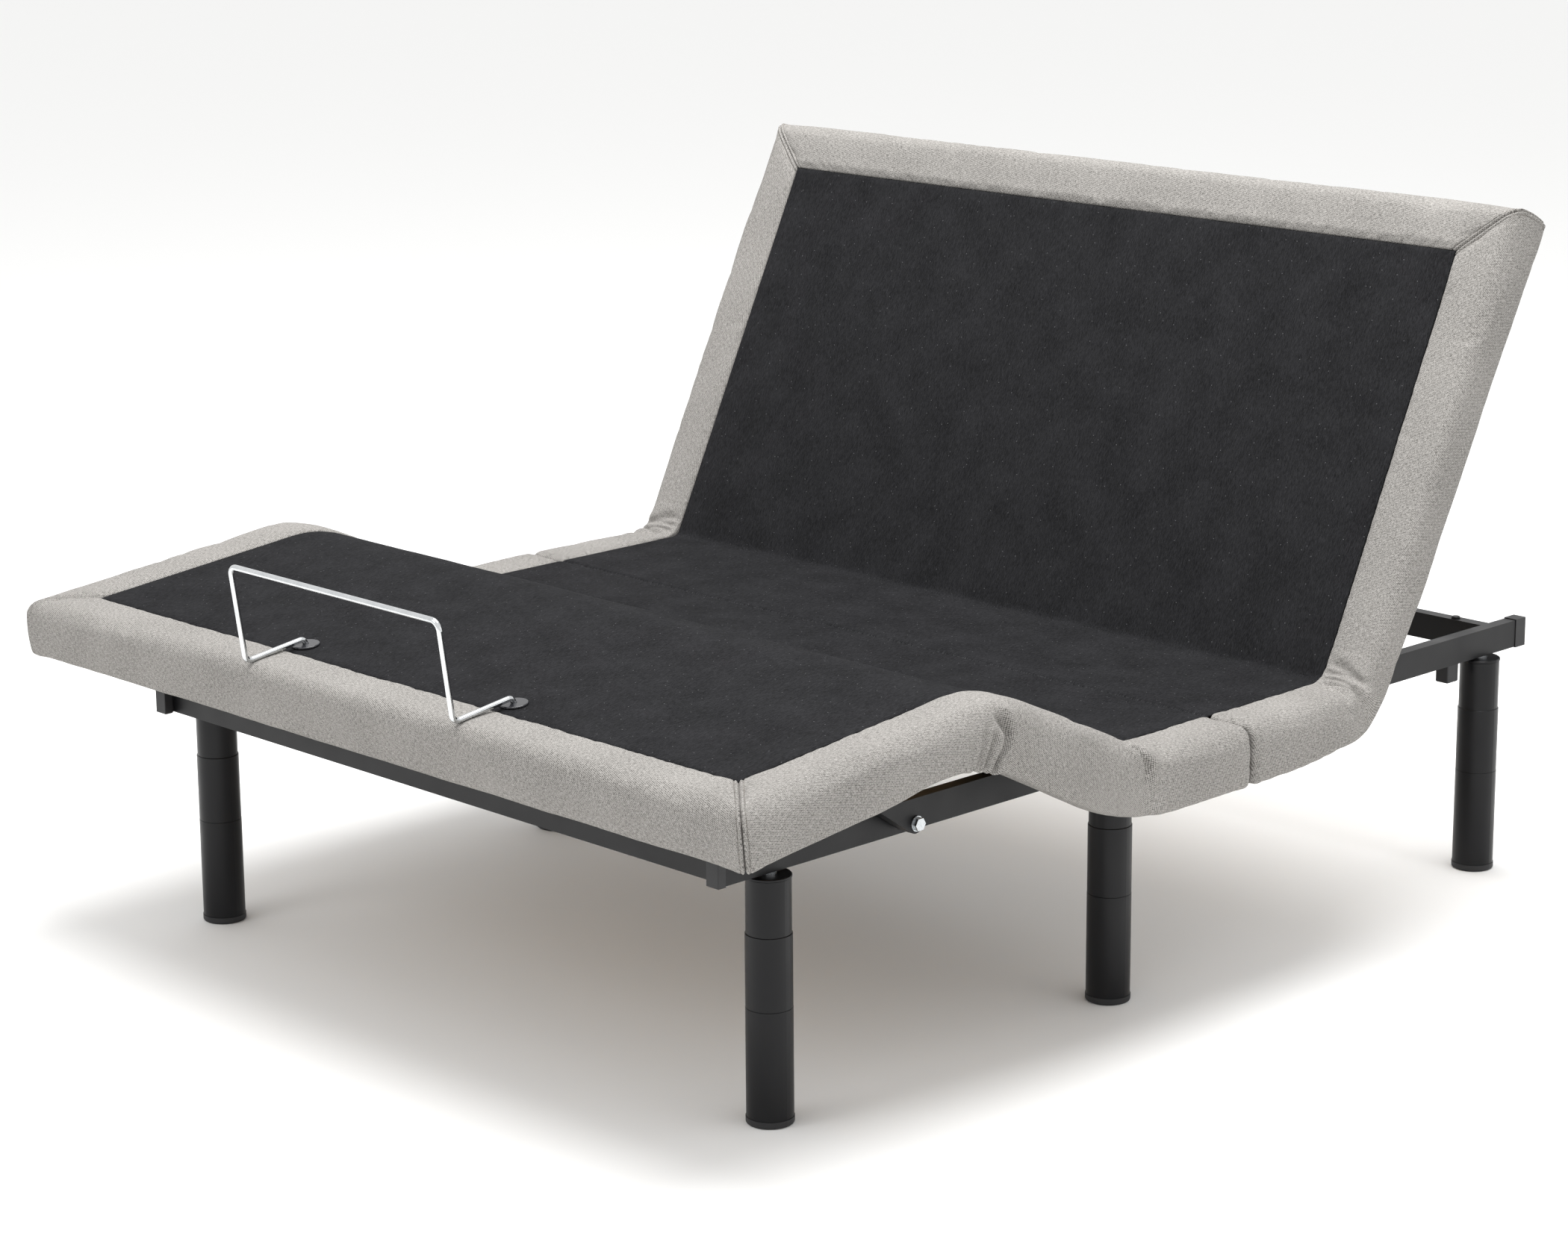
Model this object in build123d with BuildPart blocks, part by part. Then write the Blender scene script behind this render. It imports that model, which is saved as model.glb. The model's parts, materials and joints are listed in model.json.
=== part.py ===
from build123d import *
import os
from math import atan2, cos, degrees, hypot, radians, sin, tan

# Upholstered adjustable bed base, queen width. Millimetres, +Z up, +Y towards the head,
# origin on the floor under the middle of the base. Drawn with the head and knees raised.

os.makedirs("parts", exist_ok=True)

# Deck: widths, lengths along each section and how far it is raised
half_width = 762.0
panel_half = 677.0
board_half = 735.0
skirt_inner = 720.0
hinge_height = 390.0
foot_length = 478.0
thigh_length = 322.0
seat_length = 466.0
head_length = 744.0
foot_slope = 5.83
thigh_slope = 24.75
head_slope = 64.0
thigh_extra = 7.0

# Layers, measured up from the hinge axis
surface = 22.0
pad_under = 10.0
board_under = -5.0
tube_under = -30.0
seat_skirt = -65.0
thigh_skirt = -76.0
foot_skirt = -62.0
head_skirt = -58.0
edge_round = 28.0
end_band = 78.0
end_board = 27.0
end_wall = 42.0
gap = 1.0

# Base frame
rail_out = 599.0
rail_in = 579.0
rail_foot_y = -790.0
rail_head_y = 924.0
rail_floor = 340.0
rail_top = 382.0
rail_wall = 2.0
cap_wall = 1.5
cap_side = 1.2
cap_sleeves = (12.0, 24.0)
cross_wide = 20.0
cross_high = 40.0
tab_wall = 3.0
tab_reach = 30.0
tab_heights = (343.0, 377.0)
tab_screw = (520.0, 854.0)
tab_screw_radius = 7.0
tab_screw_high = 3.5
stub_size = (23.0, 27.0, 27.0)
stub_y = 742.5

# Legs
leg_x = 589.0
leg_ys = (-693.6, -34.0, 824.0)
leg_joints = (10.0, 158.6, 258.0, 333.0)
leg_radii = (31.2, 31.0, 29.9)
glide_radius = 32.0
leg_wall = 2.0
leg_plug = 6.0
stud_radius = 5.0
stud_length = 36.0
disc_radius = 30.8
disc_thick = 3.6
nut_corner = 7.9
nut_thick = 8.0
washer_radius = 11.0

# Where the hinges stand, seen from the side: (y, z)
hip_y = -135.0
split_y = 63.5
split_gap = 8.0
back_y = hip_y + seat_length
knee_y = hip_y - thigh_length * cos(radians(thigh_slope))
knee_z = hinge_height + thigh_length * sin(radians(thigh_slope))

# Hinges
tube = 25.0
hinge_gap = 16.0
ear_round = 10.0
pin_radius = 4.0
pin_head = 7.0
ear_thick = 5.0
ear_foot = 70.0
board_ear_x = (563.0, 569.0)
base_ear_foot = (24.0, 357.0)
base_ear_floor = 345.0
running = 0.05

# Side links that steer the foot section
link_pivot = (-465.5, 361.0)
link_along = 204.0
link_below = 33.0
link_high = 28.0
link_in = 606.0
link_out = 630.0
link_play = 3.5
link_bolt = 5.0
link_wall = 3.0
bracket_x = (634.0, 639.0, 676.0)
bracket_half = 30.0
bracket_below = 13.0

# Lifting actuators: lever radius, actuator centre line across the bed
lever_radius = 120.0
head_actuator_x = 130.0
leg_actuator_x = -130.0
lever_thick = 5.0
lever_gap = 18.0
push_pin = 6.0
slot_play = 3.5
rod_radius = 10.0
rod_overlap = 80.0
fork_half = 16.0
slider_radius = 19.0
slider_length = 200.0
slider_mouth = 30.0
gearbox_length = 75.0
gearbox_half = (30.0, 27.0)
motor_radius = 26.0
motor_length = 105.0
tail_half = 12.0
tail_reach = 14.0
lever_round = 19.0
tail_round = 14.0
head_travel_half = head_slope / 2
leg_travel_half = (thigh_slope + thigh_extra) / 2

# Mattress retainer bar
bar_half = 222.0
bar_wire = 4.0
bar_socket = 371.0
bar_bend = 474.0
bar_top = 479.6
bar_height = 145.0
socket_radius = 9.0
socket_flange = 19.5
socket_lip = 2.5


def slanted(y, z, angle):
    """Working plane on a hinge axis: local X across, local Y towards the head, local Z out."""
    a = radians(angle)
    return Plane(origin=(0, y, z), x_dir=(1, 0, 0), z_dir=(0, -sin(a), cos(a)))


def side_of(deck, x):
    """Plane of a deck's side view at a distance x: local X towards the head, local Y out."""
    return Plane(origin=deck.origin + Vector(x, 0, 0), x_dir=deck.y_dir, z_dir=(1, 0, 0))


foot_deck = slanted(knee_y, knee_z, foot_slope)
thigh_deck = slanted(hip_y, hinge_height, -thigh_slope)
seat_deck = slanted(hip_y, hinge_height, 0)
head_deck = slanted(back_y, hinge_height, head_slope)


def block(x0, x1, y0, y1, z0, z1):
    """A box between two corners, in the current working plane."""
    with Locations(((x0 + x1) / 2, (y0 + y1) / 2, (z0 + z1) / 2)):
        Box(x1 - x0, y1 - y0, z1 - z0)


# Base frame
for side, sign in (("left", -1), ("right", 1)):
    with BuildPart() as rail:
        with BuildSketch(Plane.XZ.offset(-rail_foot_y)):
            with Locations((sign * leg_x, (rail_floor + rail_top) / 2)):
                Rectangle(rail_out - rail_in, rail_top - rail_floor)
                Rectangle(rail_out - rail_in - 2 * rail_wall,
                          rail_top - rail_floor - 2 * rail_wall, mode=Mode.SUBTRACT)
        extrude(amount=-(rail_head_y - rail_foot_y))
        with BuildSketch(Plane.XY.offset(rail_floor)):
            with Locations(*[(sign * leg_x, y) for y in leg_ys]):
                Circle(stud_radius)
        extrude(amount=rail_wall, mode=Mode.SUBTRACT)
        with BuildSketch(Plane.YZ.offset(sign * leg_x - (rail_out - rail_in))):
            with Locations(link_pivot):
                Circle(link_bolt)
        extrude(amount=2 * (rail_out - rail_in), mode=Mode.SUBTRACT)
    rail.part.label = f"rail_{side}"
    export_step(rail.part, f"parts/rail_{side}.step")

# Moulded end caps: a plate with a short sleeve round the rail
with BuildPart() as rail_end_caps:
    for y_end, way, sleeve in ((rail_foot_y, -1, cap_sleeves[0]), (rail_head_y, 1, cap_sleeves[1])):
        with BuildSketch(Plane.XZ.offset(-y_end)):
            with Locations((leg_x, (rail_floor + rail_top) / 2)):
                Rectangle(rail_out - rail_in + 2 * cap_side, rail_top - rail_floor + 2 * cap_side)
        extrude(amount=-way * cap_wall)
        with BuildSketch(Plane.XZ.offset(-y_end)):
            with Locations((leg_x, (rail_floor + rail_top) / 2)):
                Rectangle(rail_out - rail_in + 2 * cap_side, rail_top - rail_floor + 2 * cap_side)
                Rectangle(rail_out - rail_in, rail_top - rail_floor, mode=Mode.SUBTRACT)
        extrude(amount=way * sleeve)
    chamfer(rail_end_caps.faces().sort_by(Axis.Y)[0].edges(), 0.8)
    chamfer(rail_end_caps.faces().sort_by(Axis.Y)[-1].edges(), 0.8)
    mirror(about=Plane.YZ)
rail_end_caps.part.label = "rail_end_caps"
export_step(rail_end_caps.part, "parts/rail_end_caps.step")

# Cross rails: name, foot-side face
cross_rails = (("foot", -775.0), ("hip", -90.0), ("seat", 228.0), ("head", 844.0))
for place, y in cross_rails:
    with BuildPart() as cross:
        with BuildSketch(Plane.YZ.offset(-rail_in)):
            with Locations((y + cross_wide / 2, rail_floor + cross_high / 2)):
                Rectangle(cross_wide, cross_high)
                Rectangle(cross_wide - 2 * rail_wall, cross_high - 2 * rail_wall,
                          mode=Mode.SUBTRACT)
        extrude(amount=2 * rail_in)
    cross.part.label = f"cross_rail_{place}"
    export_step(cross.part, f"parts/cross_rail_{place}.step")

# Tabs that join the end cross rails to the side rails, and the screws of the head pair
with BuildPart() as corner_tabs:
    for y in (cross_rails[0][1] + cross_wide, cross_rails[-1][1] + cross_wide):
        block(rail_in - tab_reach, rail_in, y, y + tab_wall, *tab_heights)
        block(rail_in - tab_wall, rail_in, y, y + tab_reach, *tab_heights)
    with BuildSketch(Plane.XY.offset(rail_floor + cross_high)):
        with Locations(tab_screw):
            Circle(tab_screw_radius)
    extrude(amount=tab_screw_high)
    fillet(corner_tabs.faces().group_by(Axis.Z)[-1].edges(), 2.5)
    mirror(about=Plane.YZ)
corner_tabs.part.label = "corner_tabs"
export_step(corner_tabs.part, "parts/corner_tabs.step")

# Square stub that hangs under each rail beside the head leg
with BuildPart() as rail_stubs:
    with BuildSketch(Plane.XY.offset(rail_floor)):
        with Locations((rail_out - stub_size[0] / 2, stub_y)):
            Rectangle(stub_size[0], stub_size[1])
    extrude(amount=-stub_size[2])
    fillet(rail_stubs.edges().filter_by(Axis.Z), 2)
    chamfer(rail_stubs.faces().sort_by(Axis.Z)[0].edges(), 1.5)
    mirror(about=Plane.YZ)
rail_stubs.part.label = "rail_stubs"
export_step(rail_stubs.part, "parts/rail_stubs.step")

# Legs
leg_spots = [(sign * leg_x, y) for sign in (-1, 1) for y in leg_ys]
leg_names = ("lower", "middle", "upper")
for name, low, high, radius in zip(leg_names, leg_joints, leg_joints[1:], leg_radii):
    with BuildPart() as leg:
        with BuildSketch(Plane.XY.offset(low)):
            with Locations(*leg_spots):
                Circle(radius)
        extrude(amount=high - low)
        chamfer(leg.faces().group_by(Axis.Z)[-1].edges(), 0.8)
        with BuildSketch(Plane.XY.offset(low)):
            with Locations(*leg_spots):
                Circle(radius - leg_wall)
        extrude(amount=high - low - leg_plug, mode=Mode.SUBTRACT)
        with BuildSketch(Plane.XY.offset(high)):
            with Locations(*leg_spots):
                Circle(stud_radius)
        extrude(amount=-leg_plug, mode=Mode.SUBTRACT)
    leg.part.label = f"leg_{name}s"
    export_step(leg.part, f"parts/leg_{name}s.step")

with BuildPart() as leg_glides:
    with BuildSketch(Plane.XY):
        with Locations(*leg_spots):
            Circle(glide_radius)
    extrude(amount=leg_joints[0])
    fillet(leg_glides.faces().group_by(Axis.Z)[0].edges(), 3.5)
leg_glides.part.label = "leg_glides"
export_step(leg_glides.part, "parts/leg_glides.step")

with BuildPart() as leg_top_discs:
    with BuildSketch(Plane.XY.offset(leg_joints[-1])):
        with Locations(*leg_spots):
            Circle(disc_radius)
            Circle(stud_radius, mode=Mode.SUBTRACT)
    extrude(amount=disc_thick)
    chamfer(leg_top_discs.faces().group_by(Axis.Z)[-1].edges().group_by(SortBy.LENGTH)[-1], 1.2)
leg_top_discs.part.label = "leg_top_discs"
export_step(leg_top_discs.part, "parts/leg_top_discs.step")

# Stud, nut and washer at the top of each leg
with BuildPart() as leg_fasteners:
    with BuildSketch(Plane.XY.offset(leg_joints[-1] - leg_plug)):
        with Locations(*leg_spots):
            Circle(stud_radius)
    extrude(amount=stud_length)
    with BuildSketch(Plane.XY.offset(rail_floor + rail_wall)):
        with Locations(*leg_spots):
            RegularPolygon(nut_corner, 6)
    extrude(amount=nut_thick)
    with BuildSketch(Plane.XY.offset(leg_joints[-1] + disc_thick)):
        with Locations(*leg_spots):
            Circle(washer_radius)
    extrude(amount=rail_floor - leg_joints[-1] - disc_thick)
leg_fasteners.part.label = "leg_fasteners"
export_step(leg_fasteners.part, "parts/leg_fasteners.step")

# Boards and top pads
socket_spots = ((-bar_half, -bar_socket), (bar_half, -bar_socket))
# name, deck, start and end of the board, start and end of the pad, along the deck
sections = (
    ("foot", foot_deck, -(foot_length - end_board), -14, -(foot_length - end_band), -gap),
    ("thigh", thigh_deck, -thigh_length + 14, -14, -thigh_length + gap, -8),
    ("seat_front", seat_deck, 14, split_y - hip_y - split_gap / 2, 8, split_y - hip_y - 3),
    ("seat_rear", seat_deck, split_y - hip_y + split_gap / 2, seat_length - 14,
     split_y - hip_y + 3, seat_length - 15),
    ("head", head_deck, 14, head_length - end_board, 15, head_length - end_band),
)
for place, deck, board_a, board_b, pad_a, pad_b in sections:
    with BuildPart(deck) as board:
        block(-board_half, board_half, board_a, board_b, board_under, pad_under)
        if place == "foot":
            with BuildSketch(deck.offset(board_under)):
                with Locations(*socket_spots):
                    Circle(socket_radius)
            extrude(amount=pad_under - board_under, mode=Mode.SUBTRACT)
    board.part.label = f"{place}_board"
    export_step(board.part, f"parts/{place}_board.step")

    with BuildPart(deck) as pad:
        block(-panel_half, panel_half, pad_a, pad_b, pad_under, surface)
        if place == "foot":
            with BuildSketch(deck.offset(pad_under)):
                with Locations(*socket_spots):
                    Circle(socket_radius)
            extrude(amount=surface - pad_under, mode=Mode.SUBTRACT)
    pad.part.label = f"{place}_pad"
    export_step(pad.part, f"parts/{place}_pad.step")


# Padded borders
def opened(fold, depth):
    """How far a border end stands back from its hinge at a depth, for a given fold."""
    return gap + abs(depth) * tan(radians(fold) / 2)


hip_fold = thigh_slope + thigh_extra
knee_fold = 43.5
hip_top = opened(hip_fold, surface)
back_top = opened(head_slope, surface)
foot_low = opened(knee_fold, foot_skirt)
thigh_low = opened(knee_fold, thigh_skirt)
split_front = split_y - hip_y - split_gap / 2
split_rear = split_y - hip_y + split_gap / 2

# Side view of each border, going round from the top at its foot end
border_sides = (
    ("foot", foot_deck, [(-foot_length + end_band, surface), (-gap, surface), (-gap, 0),
                         (-foot_low, foot_skirt), (-foot_length + end_band, foot_skirt)]),
    ("thigh", thigh_deck, [(-thigh_length + gap, surface), (-hip_top, surface), (-gap, 0),
                           (-gap, thigh_skirt), (-thigh_length + thigh_low, thigh_skirt),
                           (-thigh_length + gap, 0)]),
    ("seat_front", seat_deck, [(hip_top, surface), (split_front, surface),
                               (split_front, seat_skirt), (gap, seat_skirt), (gap, 0)]),
    ("seat_rear", seat_deck, [(split_rear, surface), (seat_length - back_top, surface),
                              (seat_length - gap, 0), (seat_length - gap, seat_skirt),
                              (split_rear, seat_skirt)]),
    ("head", head_deck, [(back_top, surface), (head_length - end_band, surface),
                         (head_length - end_band, head_skirt), (80, head_skirt + 18),
                         (gap, -26), (gap, 0)]),
)
for place, deck, outline in border_sides:
    with BuildPart() as border:
        with BuildSketch(side_of(deck, panel_half)):
            with BuildLine():
                Polyline(*outline, close=True)
            make_face()
        extrude(amount=half_width - panel_half)
        along = border.edges().filter_by(Axis(deck.origin, deck.y_dir))
        outer = along.group_by(Axis.X)[-1]
        fillet(outer.sort_by(Axis(deck.origin, deck.z_dir))[-1], edge_round)
        reach = 2 * head_length
        with BuildSketch(side_of(deck, panel_half)):
            with Locations((0, (board_under + pad_under) / 2)):
                Rectangle(reach, pad_under - board_under)
        extrude(amount=board_half - panel_half, mode=Mode.SUBTRACT)
        with BuildSketch(side_of(deck, panel_half)):
            with Locations((0, board_under - 100)):
                Rectangle(reach, 200)
        extrude(amount=skirt_inner - panel_half, mode=Mode.SUBTRACT)
        mirror(about=Plane.YZ)
    border.part.label = f"{place}_border"
    export_step(border.part, f"parts/{place}_border.step")

# Bolsters across the foot end and the head end
for place, deck, way, length, low in (("foot", foot_deck, -1, foot_length, foot_skirt),
                                      ("head", head_deck, 1, head_length, head_skirt)):
    with BuildPart() as bolster:
        with BuildSketch(side_of(deck, -half_width)):
            with BuildLine():
                Polyline((way * (length - end_band), surface), (way * length, surface),
                         (way * length, low), (way * (length - end_wall), low),
                         (way * (length - end_wall), board_under),
                         (way * (length - end_board), board_under),
                         (way * (length - end_board), pad_under),
                         (way * (length - end_band), pad_under), close=True)
            make_face()
        extrude(amount=2 * half_width)
        for sign in (-1, 1):
            with BuildSketch(side_of(deck, sign * half_width)):
                with Locations((way * (length - end_band / 2), (board_under + low) / 2)):
                    Rectangle(end_band, board_under - low)
            extrude(amount=-sign * (half_width - skirt_inner))
            with BuildSketch(side_of(deck, sign * half_width)):
                with Locations((way * (length - end_band / 2), (board_under + pad_under) / 2)):
                    Rectangle(end_band, pad_under - board_under)
            extrude(amount=-sign * (half_width - board_half))
        ends = bolster.edges().filter_by(Axis(deck.origin, deck.z_dir))
        corners = ends.group_by(Axis(deck.origin, deck.y_dir * way))[-1]
        fillet(corners, 16)
        across = bolster.edges().filter_by(Axis.X)
        outer = across.group_by(Axis(deck.origin, deck.y_dir * way))[-1]
        fillet(outer.sort_by(Axis(deck.origin, deck.z_dir))[-1], 14)
    bolster.part.label = f"{place}_end_border"
    export_step(bolster.part, f"parts/{place}_end_border.step")


# Steel under the boards
def ear(deck, x, at, way):
    """Hinge ear: a round eye at the axis, joined to a foot along the tube."""
    with BuildSketch(side_of(deck, x)) as outline:
        with Locations((at, 0)):
            Circle(ear_round)
        with BuildLine():
            Polyline((at - way * 4, -9), (at, 0), (at + way * ear_round, 0),
                     (at + way * 12, board_under - 0.5),
                     (at + way * ear_foot, board_under - 0.5),
                     (at + way * ear_foot, tube_under), (at + way * hinge_gap, tube_under),
                     close=True)
        make_face()
        with Locations((at, 0)):
            Circle(pin_radius, mode=Mode.SUBTRACT)
    extrude(outline.sketch, amount=ear_thick)


# name, deck, tube side, start, end, [(ear side, hinge, way)], cross tubes
frames = (
    ("foot", foot_deck, 544.0, -285, -hinge_gap, [(board_ear_x[1], 0, -1)], (-85, -285)),
    ("thigh", thigh_deck, 538.0, -thigh_length + hinge_gap, -hinge_gap,
     [(board_ear_x[0], 0, -1), (board_ear_x[0], -thigh_length, 1)], (-75, -270)),
    ("head", head_deck, 538.0, hinge_gap, 500, [(board_ear_x[0], 0, 1)], (50, 475)),
)
for place, deck, tube_x, start, end, ears, crossings in frames:
    with BuildPart(deck) as side_tubes:
        block(tube_x, tube_x + tube, start, end, tube_under, board_under)
        for ear_x, at, way in ears:
            ear(deck, ear_x, at, way)
        mirror(about=Plane.YZ)
    with BuildPart(deck) as cross_tubes:
        for y in crossings:
            block(-tube_x, tube_x, y, y + tube, tube_under, board_under)
    welded = Compound(label=f"{place}_frame",
                      children=side_tubes.part.solids() + cross_tubes.part.solids())
    export_step(welded, f"parts/{place}_frame.step")


# Hinge ears that stand on the inside of the rails
with BuildPart() as base_ears:
    for y in (hip_y, back_y):
        with BuildSketch(Plane.YZ.offset(rail_in - ear_thick)):
            with Locations((y, hinge_height)):
                Circle(ear_round)
            with Locations((y, (base_ear_floor + hinge_height) / 2)):
                Rectangle(2 * ear_round, hinge_height - base_ear_floor)
            with Locations((y, base_ear_foot[1])):
                Rectangle(ear_foot, base_ear_foot[0])
            with Locations((y, hinge_height)):
                Circle(pin_radius + running, mode=Mode.SUBTRACT)
        extrude(amount=ear_thick)
    mirror(about=Plane.YZ)
base_ears.part.label = "base_ears"
export_step(base_ears.part, "parts/base_ears.step")


def shouldered_pin(y, z, x_head, x_ear, x_end):
    """Hinge pin along X with a button head."""
    for radius, end in ((pin_head, x_ear), (pin_radius, x_end)):
        with BuildSketch(Plane.YZ.offset(x_head)) as section:
            with Locations((y, z)):
                Circle(radius)
        extrude(section.sketch, amount=end - x_head)


for place, y in (("hip", hip_y), ("back", back_y)):
    with BuildPart() as pins:
        shouldered_pin(y, hinge_height, board_ear_x[0] - 4, board_ear_x[0], rail_in - 0.5)
        mirror(about=Plane.YZ)
    pins.part.label = f"{place}_pins"
    export_step(pins.part, f"parts/{place}_pins.step")

with BuildPart() as knee_pins:
    knee_face = board_ear_x[1] + ear_thick
    shouldered_pin(knee_y, knee_z, knee_face + 3, knee_face, board_ear_x[0])
    mirror(about=Plane.YZ)
knee_pins.part.label = "knee_pins"
export_step(knee_pins.part, "parts/knee_pins.step")

# Side links
pin_centre = foot_deck.from_local_coords(Vector(0, -link_along, -link_below))
link_top = (pin_centre.Y, pin_centre.Z)
link_rise = degrees(atan2(link_top[1] - link_pivot[1], link_top[0] - link_pivot[0]))
link_length = hypot(link_top[0] - link_pivot[0], link_top[1] - link_pivot[1])
link_middle = ((link_top[0] + link_pivot[0]) / 2, (link_top[1] + link_pivot[1]) / 2)
print("link length", round(link_length, 2), "angle", round(180 - link_rise, 2))

for side, sign in (("left", -1), ("right", 1)):
    with BuildPart() as link:
        with BuildSketch(Plane.YZ.offset(link_in)):
            with Locations(Location(link_middle, link_rise)):
                SlotCenterToCenter(link_length, link_high)
        extrude(amount=link_out - link_in)
        with BuildSketch(Plane.YZ.offset(link_in)):
            with Locations(Location(link_middle, link_rise)):
                SlotCenterToCenter(link_length, link_high - 2 * link_wall)
        extrude(amount=link_out - link_in - link_wall, mode=Mode.SUBTRACT)
        with BuildSketch(Plane.YZ.offset(link_in)):
            with Locations(link_pivot, link_top):
                Circle(link_high / 2 - 1)
        extrude(amount=link_out - link_in)
        with BuildSketch(Plane.YZ.offset(link_in)):
            with Locations(link_pivot):
                Circle(link_bolt + running)
            with Locations(link_top):
                Circle(link_bolt + link_play)
        extrude(amount=link_out - link_in, mode=Mode.SUBTRACT)
        if sign < 0:
            mirror(about=Plane.YZ, mode=Mode.REPLACE)
    link.part.label = f"link_{side}"
    export_step(link.part, f"parts/link_{side}.step")

# Bolt, washer and nut of each link's lower pivot, and the bush that holds it off the rail
with BuildPart() as link_bolts:
    for x, radius, length in ((rail_in - 4.7, link_bolt, 64.5), (rail_out, 12, 6.6),
                              (link_out + 0.4, 10.5, 2)):
        with BuildSketch(Plane.YZ.offset(x)):
            with Locations(link_pivot):
                Circle(radius)
        extrude(amount=length)
    for x, length in ((rail_in - 4.5, 4.5), (link_out + 2.4, 6.4)):
        with BuildSketch(Plane.YZ.offset(x)):
            with Locations(link_pivot):
                RegularPolygon(9.2, 6)
        extrude(amount=length)
    mirror(about=Plane.YZ)
link_bolts.part.label = "link_bolts"
export_step(link_bolts.part, "parts/link_bolts.step")

# Angle brackets under the foot board that carry the links' upper pins
with BuildPart(foot_deck) as link_brackets:
    inner, bend, flange = bracket_x
    foot_end, knee_end = -link_along - bracket_half, -link_along + bracket_half
    block(inner, bend, foot_end, knee_end, -link_below - bracket_below, board_under)
    block(inner, flange, foot_end, knee_end, board_under - (bend - inner), board_under)
    with BuildSketch(side_of(foot_deck, inner)):
        with Locations((-link_along, -link_below)):
            Circle(link_bolt)
    extrude(amount=bend - inner, mode=Mode.SUBTRACT)
    mirror(about=Plane.YZ)
link_brackets.part.label = "link_brackets"
export_step(link_brackets.part, "parts/link_brackets.step")

with BuildPart() as link_pins:
    for x, radius, length in ((link_in - 5, 9.5, 3.5),
                              (link_in - 5, link_bolt, bracket_x[1] - link_in + 5),
                              (bracket_x[1], 8, 4)):
        with BuildSketch(side_of(foot_deck, x)):
            with Locations((-link_along, -link_below)):
                Circle(radius)
        extrude(amount=length)
    mirror(about=Plane.YZ)
link_pins.part.label = "link_pins"
export_step(link_pins.part, "parts/link_pins.step")


# Levers and actuators
def lever_plates(deck, x, lean, tube_y):
    """Two plates hung from a cross tube, each with a slot that points at the hinge axis."""
    a = radians(lean)
    tip = (lever_radius * sin(a), -lever_radius * cos(a))
    near = lever_radius * cos(a)
    root = (near * sin(a), -near * cos(a))
    middle = ((tip[0] + root[0]) / 2, (tip[1] + root[1]) / 2)
    for x0 in (x - lever_gap - lever_thick, x + lever_gap):
        with BuildSketch(side_of(deck, x0)) as plate:
            with Locations(tip, root):
                Circle(lever_round)
            with Locations((tube_y + tube / 2, tube_under - 2)):
                Rectangle(tube, 4)
            make_hull()
            with Locations(Location(middle, lean + 90)):
                SlotCenterToCenter(lever_radius - near + 4, 2 * (push_pin + slot_play),
                                   mode=Mode.SUBTRACT)
        extrude(plate.sketch, amount=lever_thick)


# Each push pin runs along a level chord of its lever's circle
head_chord = lever_radius * cos(radians(head_travel_half))
leg_chord = lever_radius * cos(radians(leg_travel_half))
head_reach = head_chord * tan(radians(head_travel_half))
leg_reach = leg_chord * tan(radians(leg_travel_half))
head_per_degree = 2 * head_reach / head_slope
leg_per_degree = 2 * leg_reach / (thigh_slope + thigh_extra)
head_push_y = back_y + head_reach
leg_push_y = hip_y + leg_reach - leg_per_degree * thigh_slope
head_push_z = hinge_height - head_chord
leg_push_z = hinge_height - leg_chord
print("rod travel, mm per degree: head", round(head_per_degree, 4), "leg", round(leg_per_degree, 4))

with BuildPart() as head_lever:
    lever_plates(head_deck, head_actuator_x, -head_travel_half, 50)
head_lever.part.label = "head_lever"
export_step(head_lever.part, "parts/head_lever.step")

with BuildPart() as thigh_lever:
    lever_plates(thigh_deck, leg_actuator_x, leg_travel_half, -75)
thigh_lever.part.label = "thigh_lever"
export_step(thigh_lever.part, "parts/thigh_lever.step")

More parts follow.
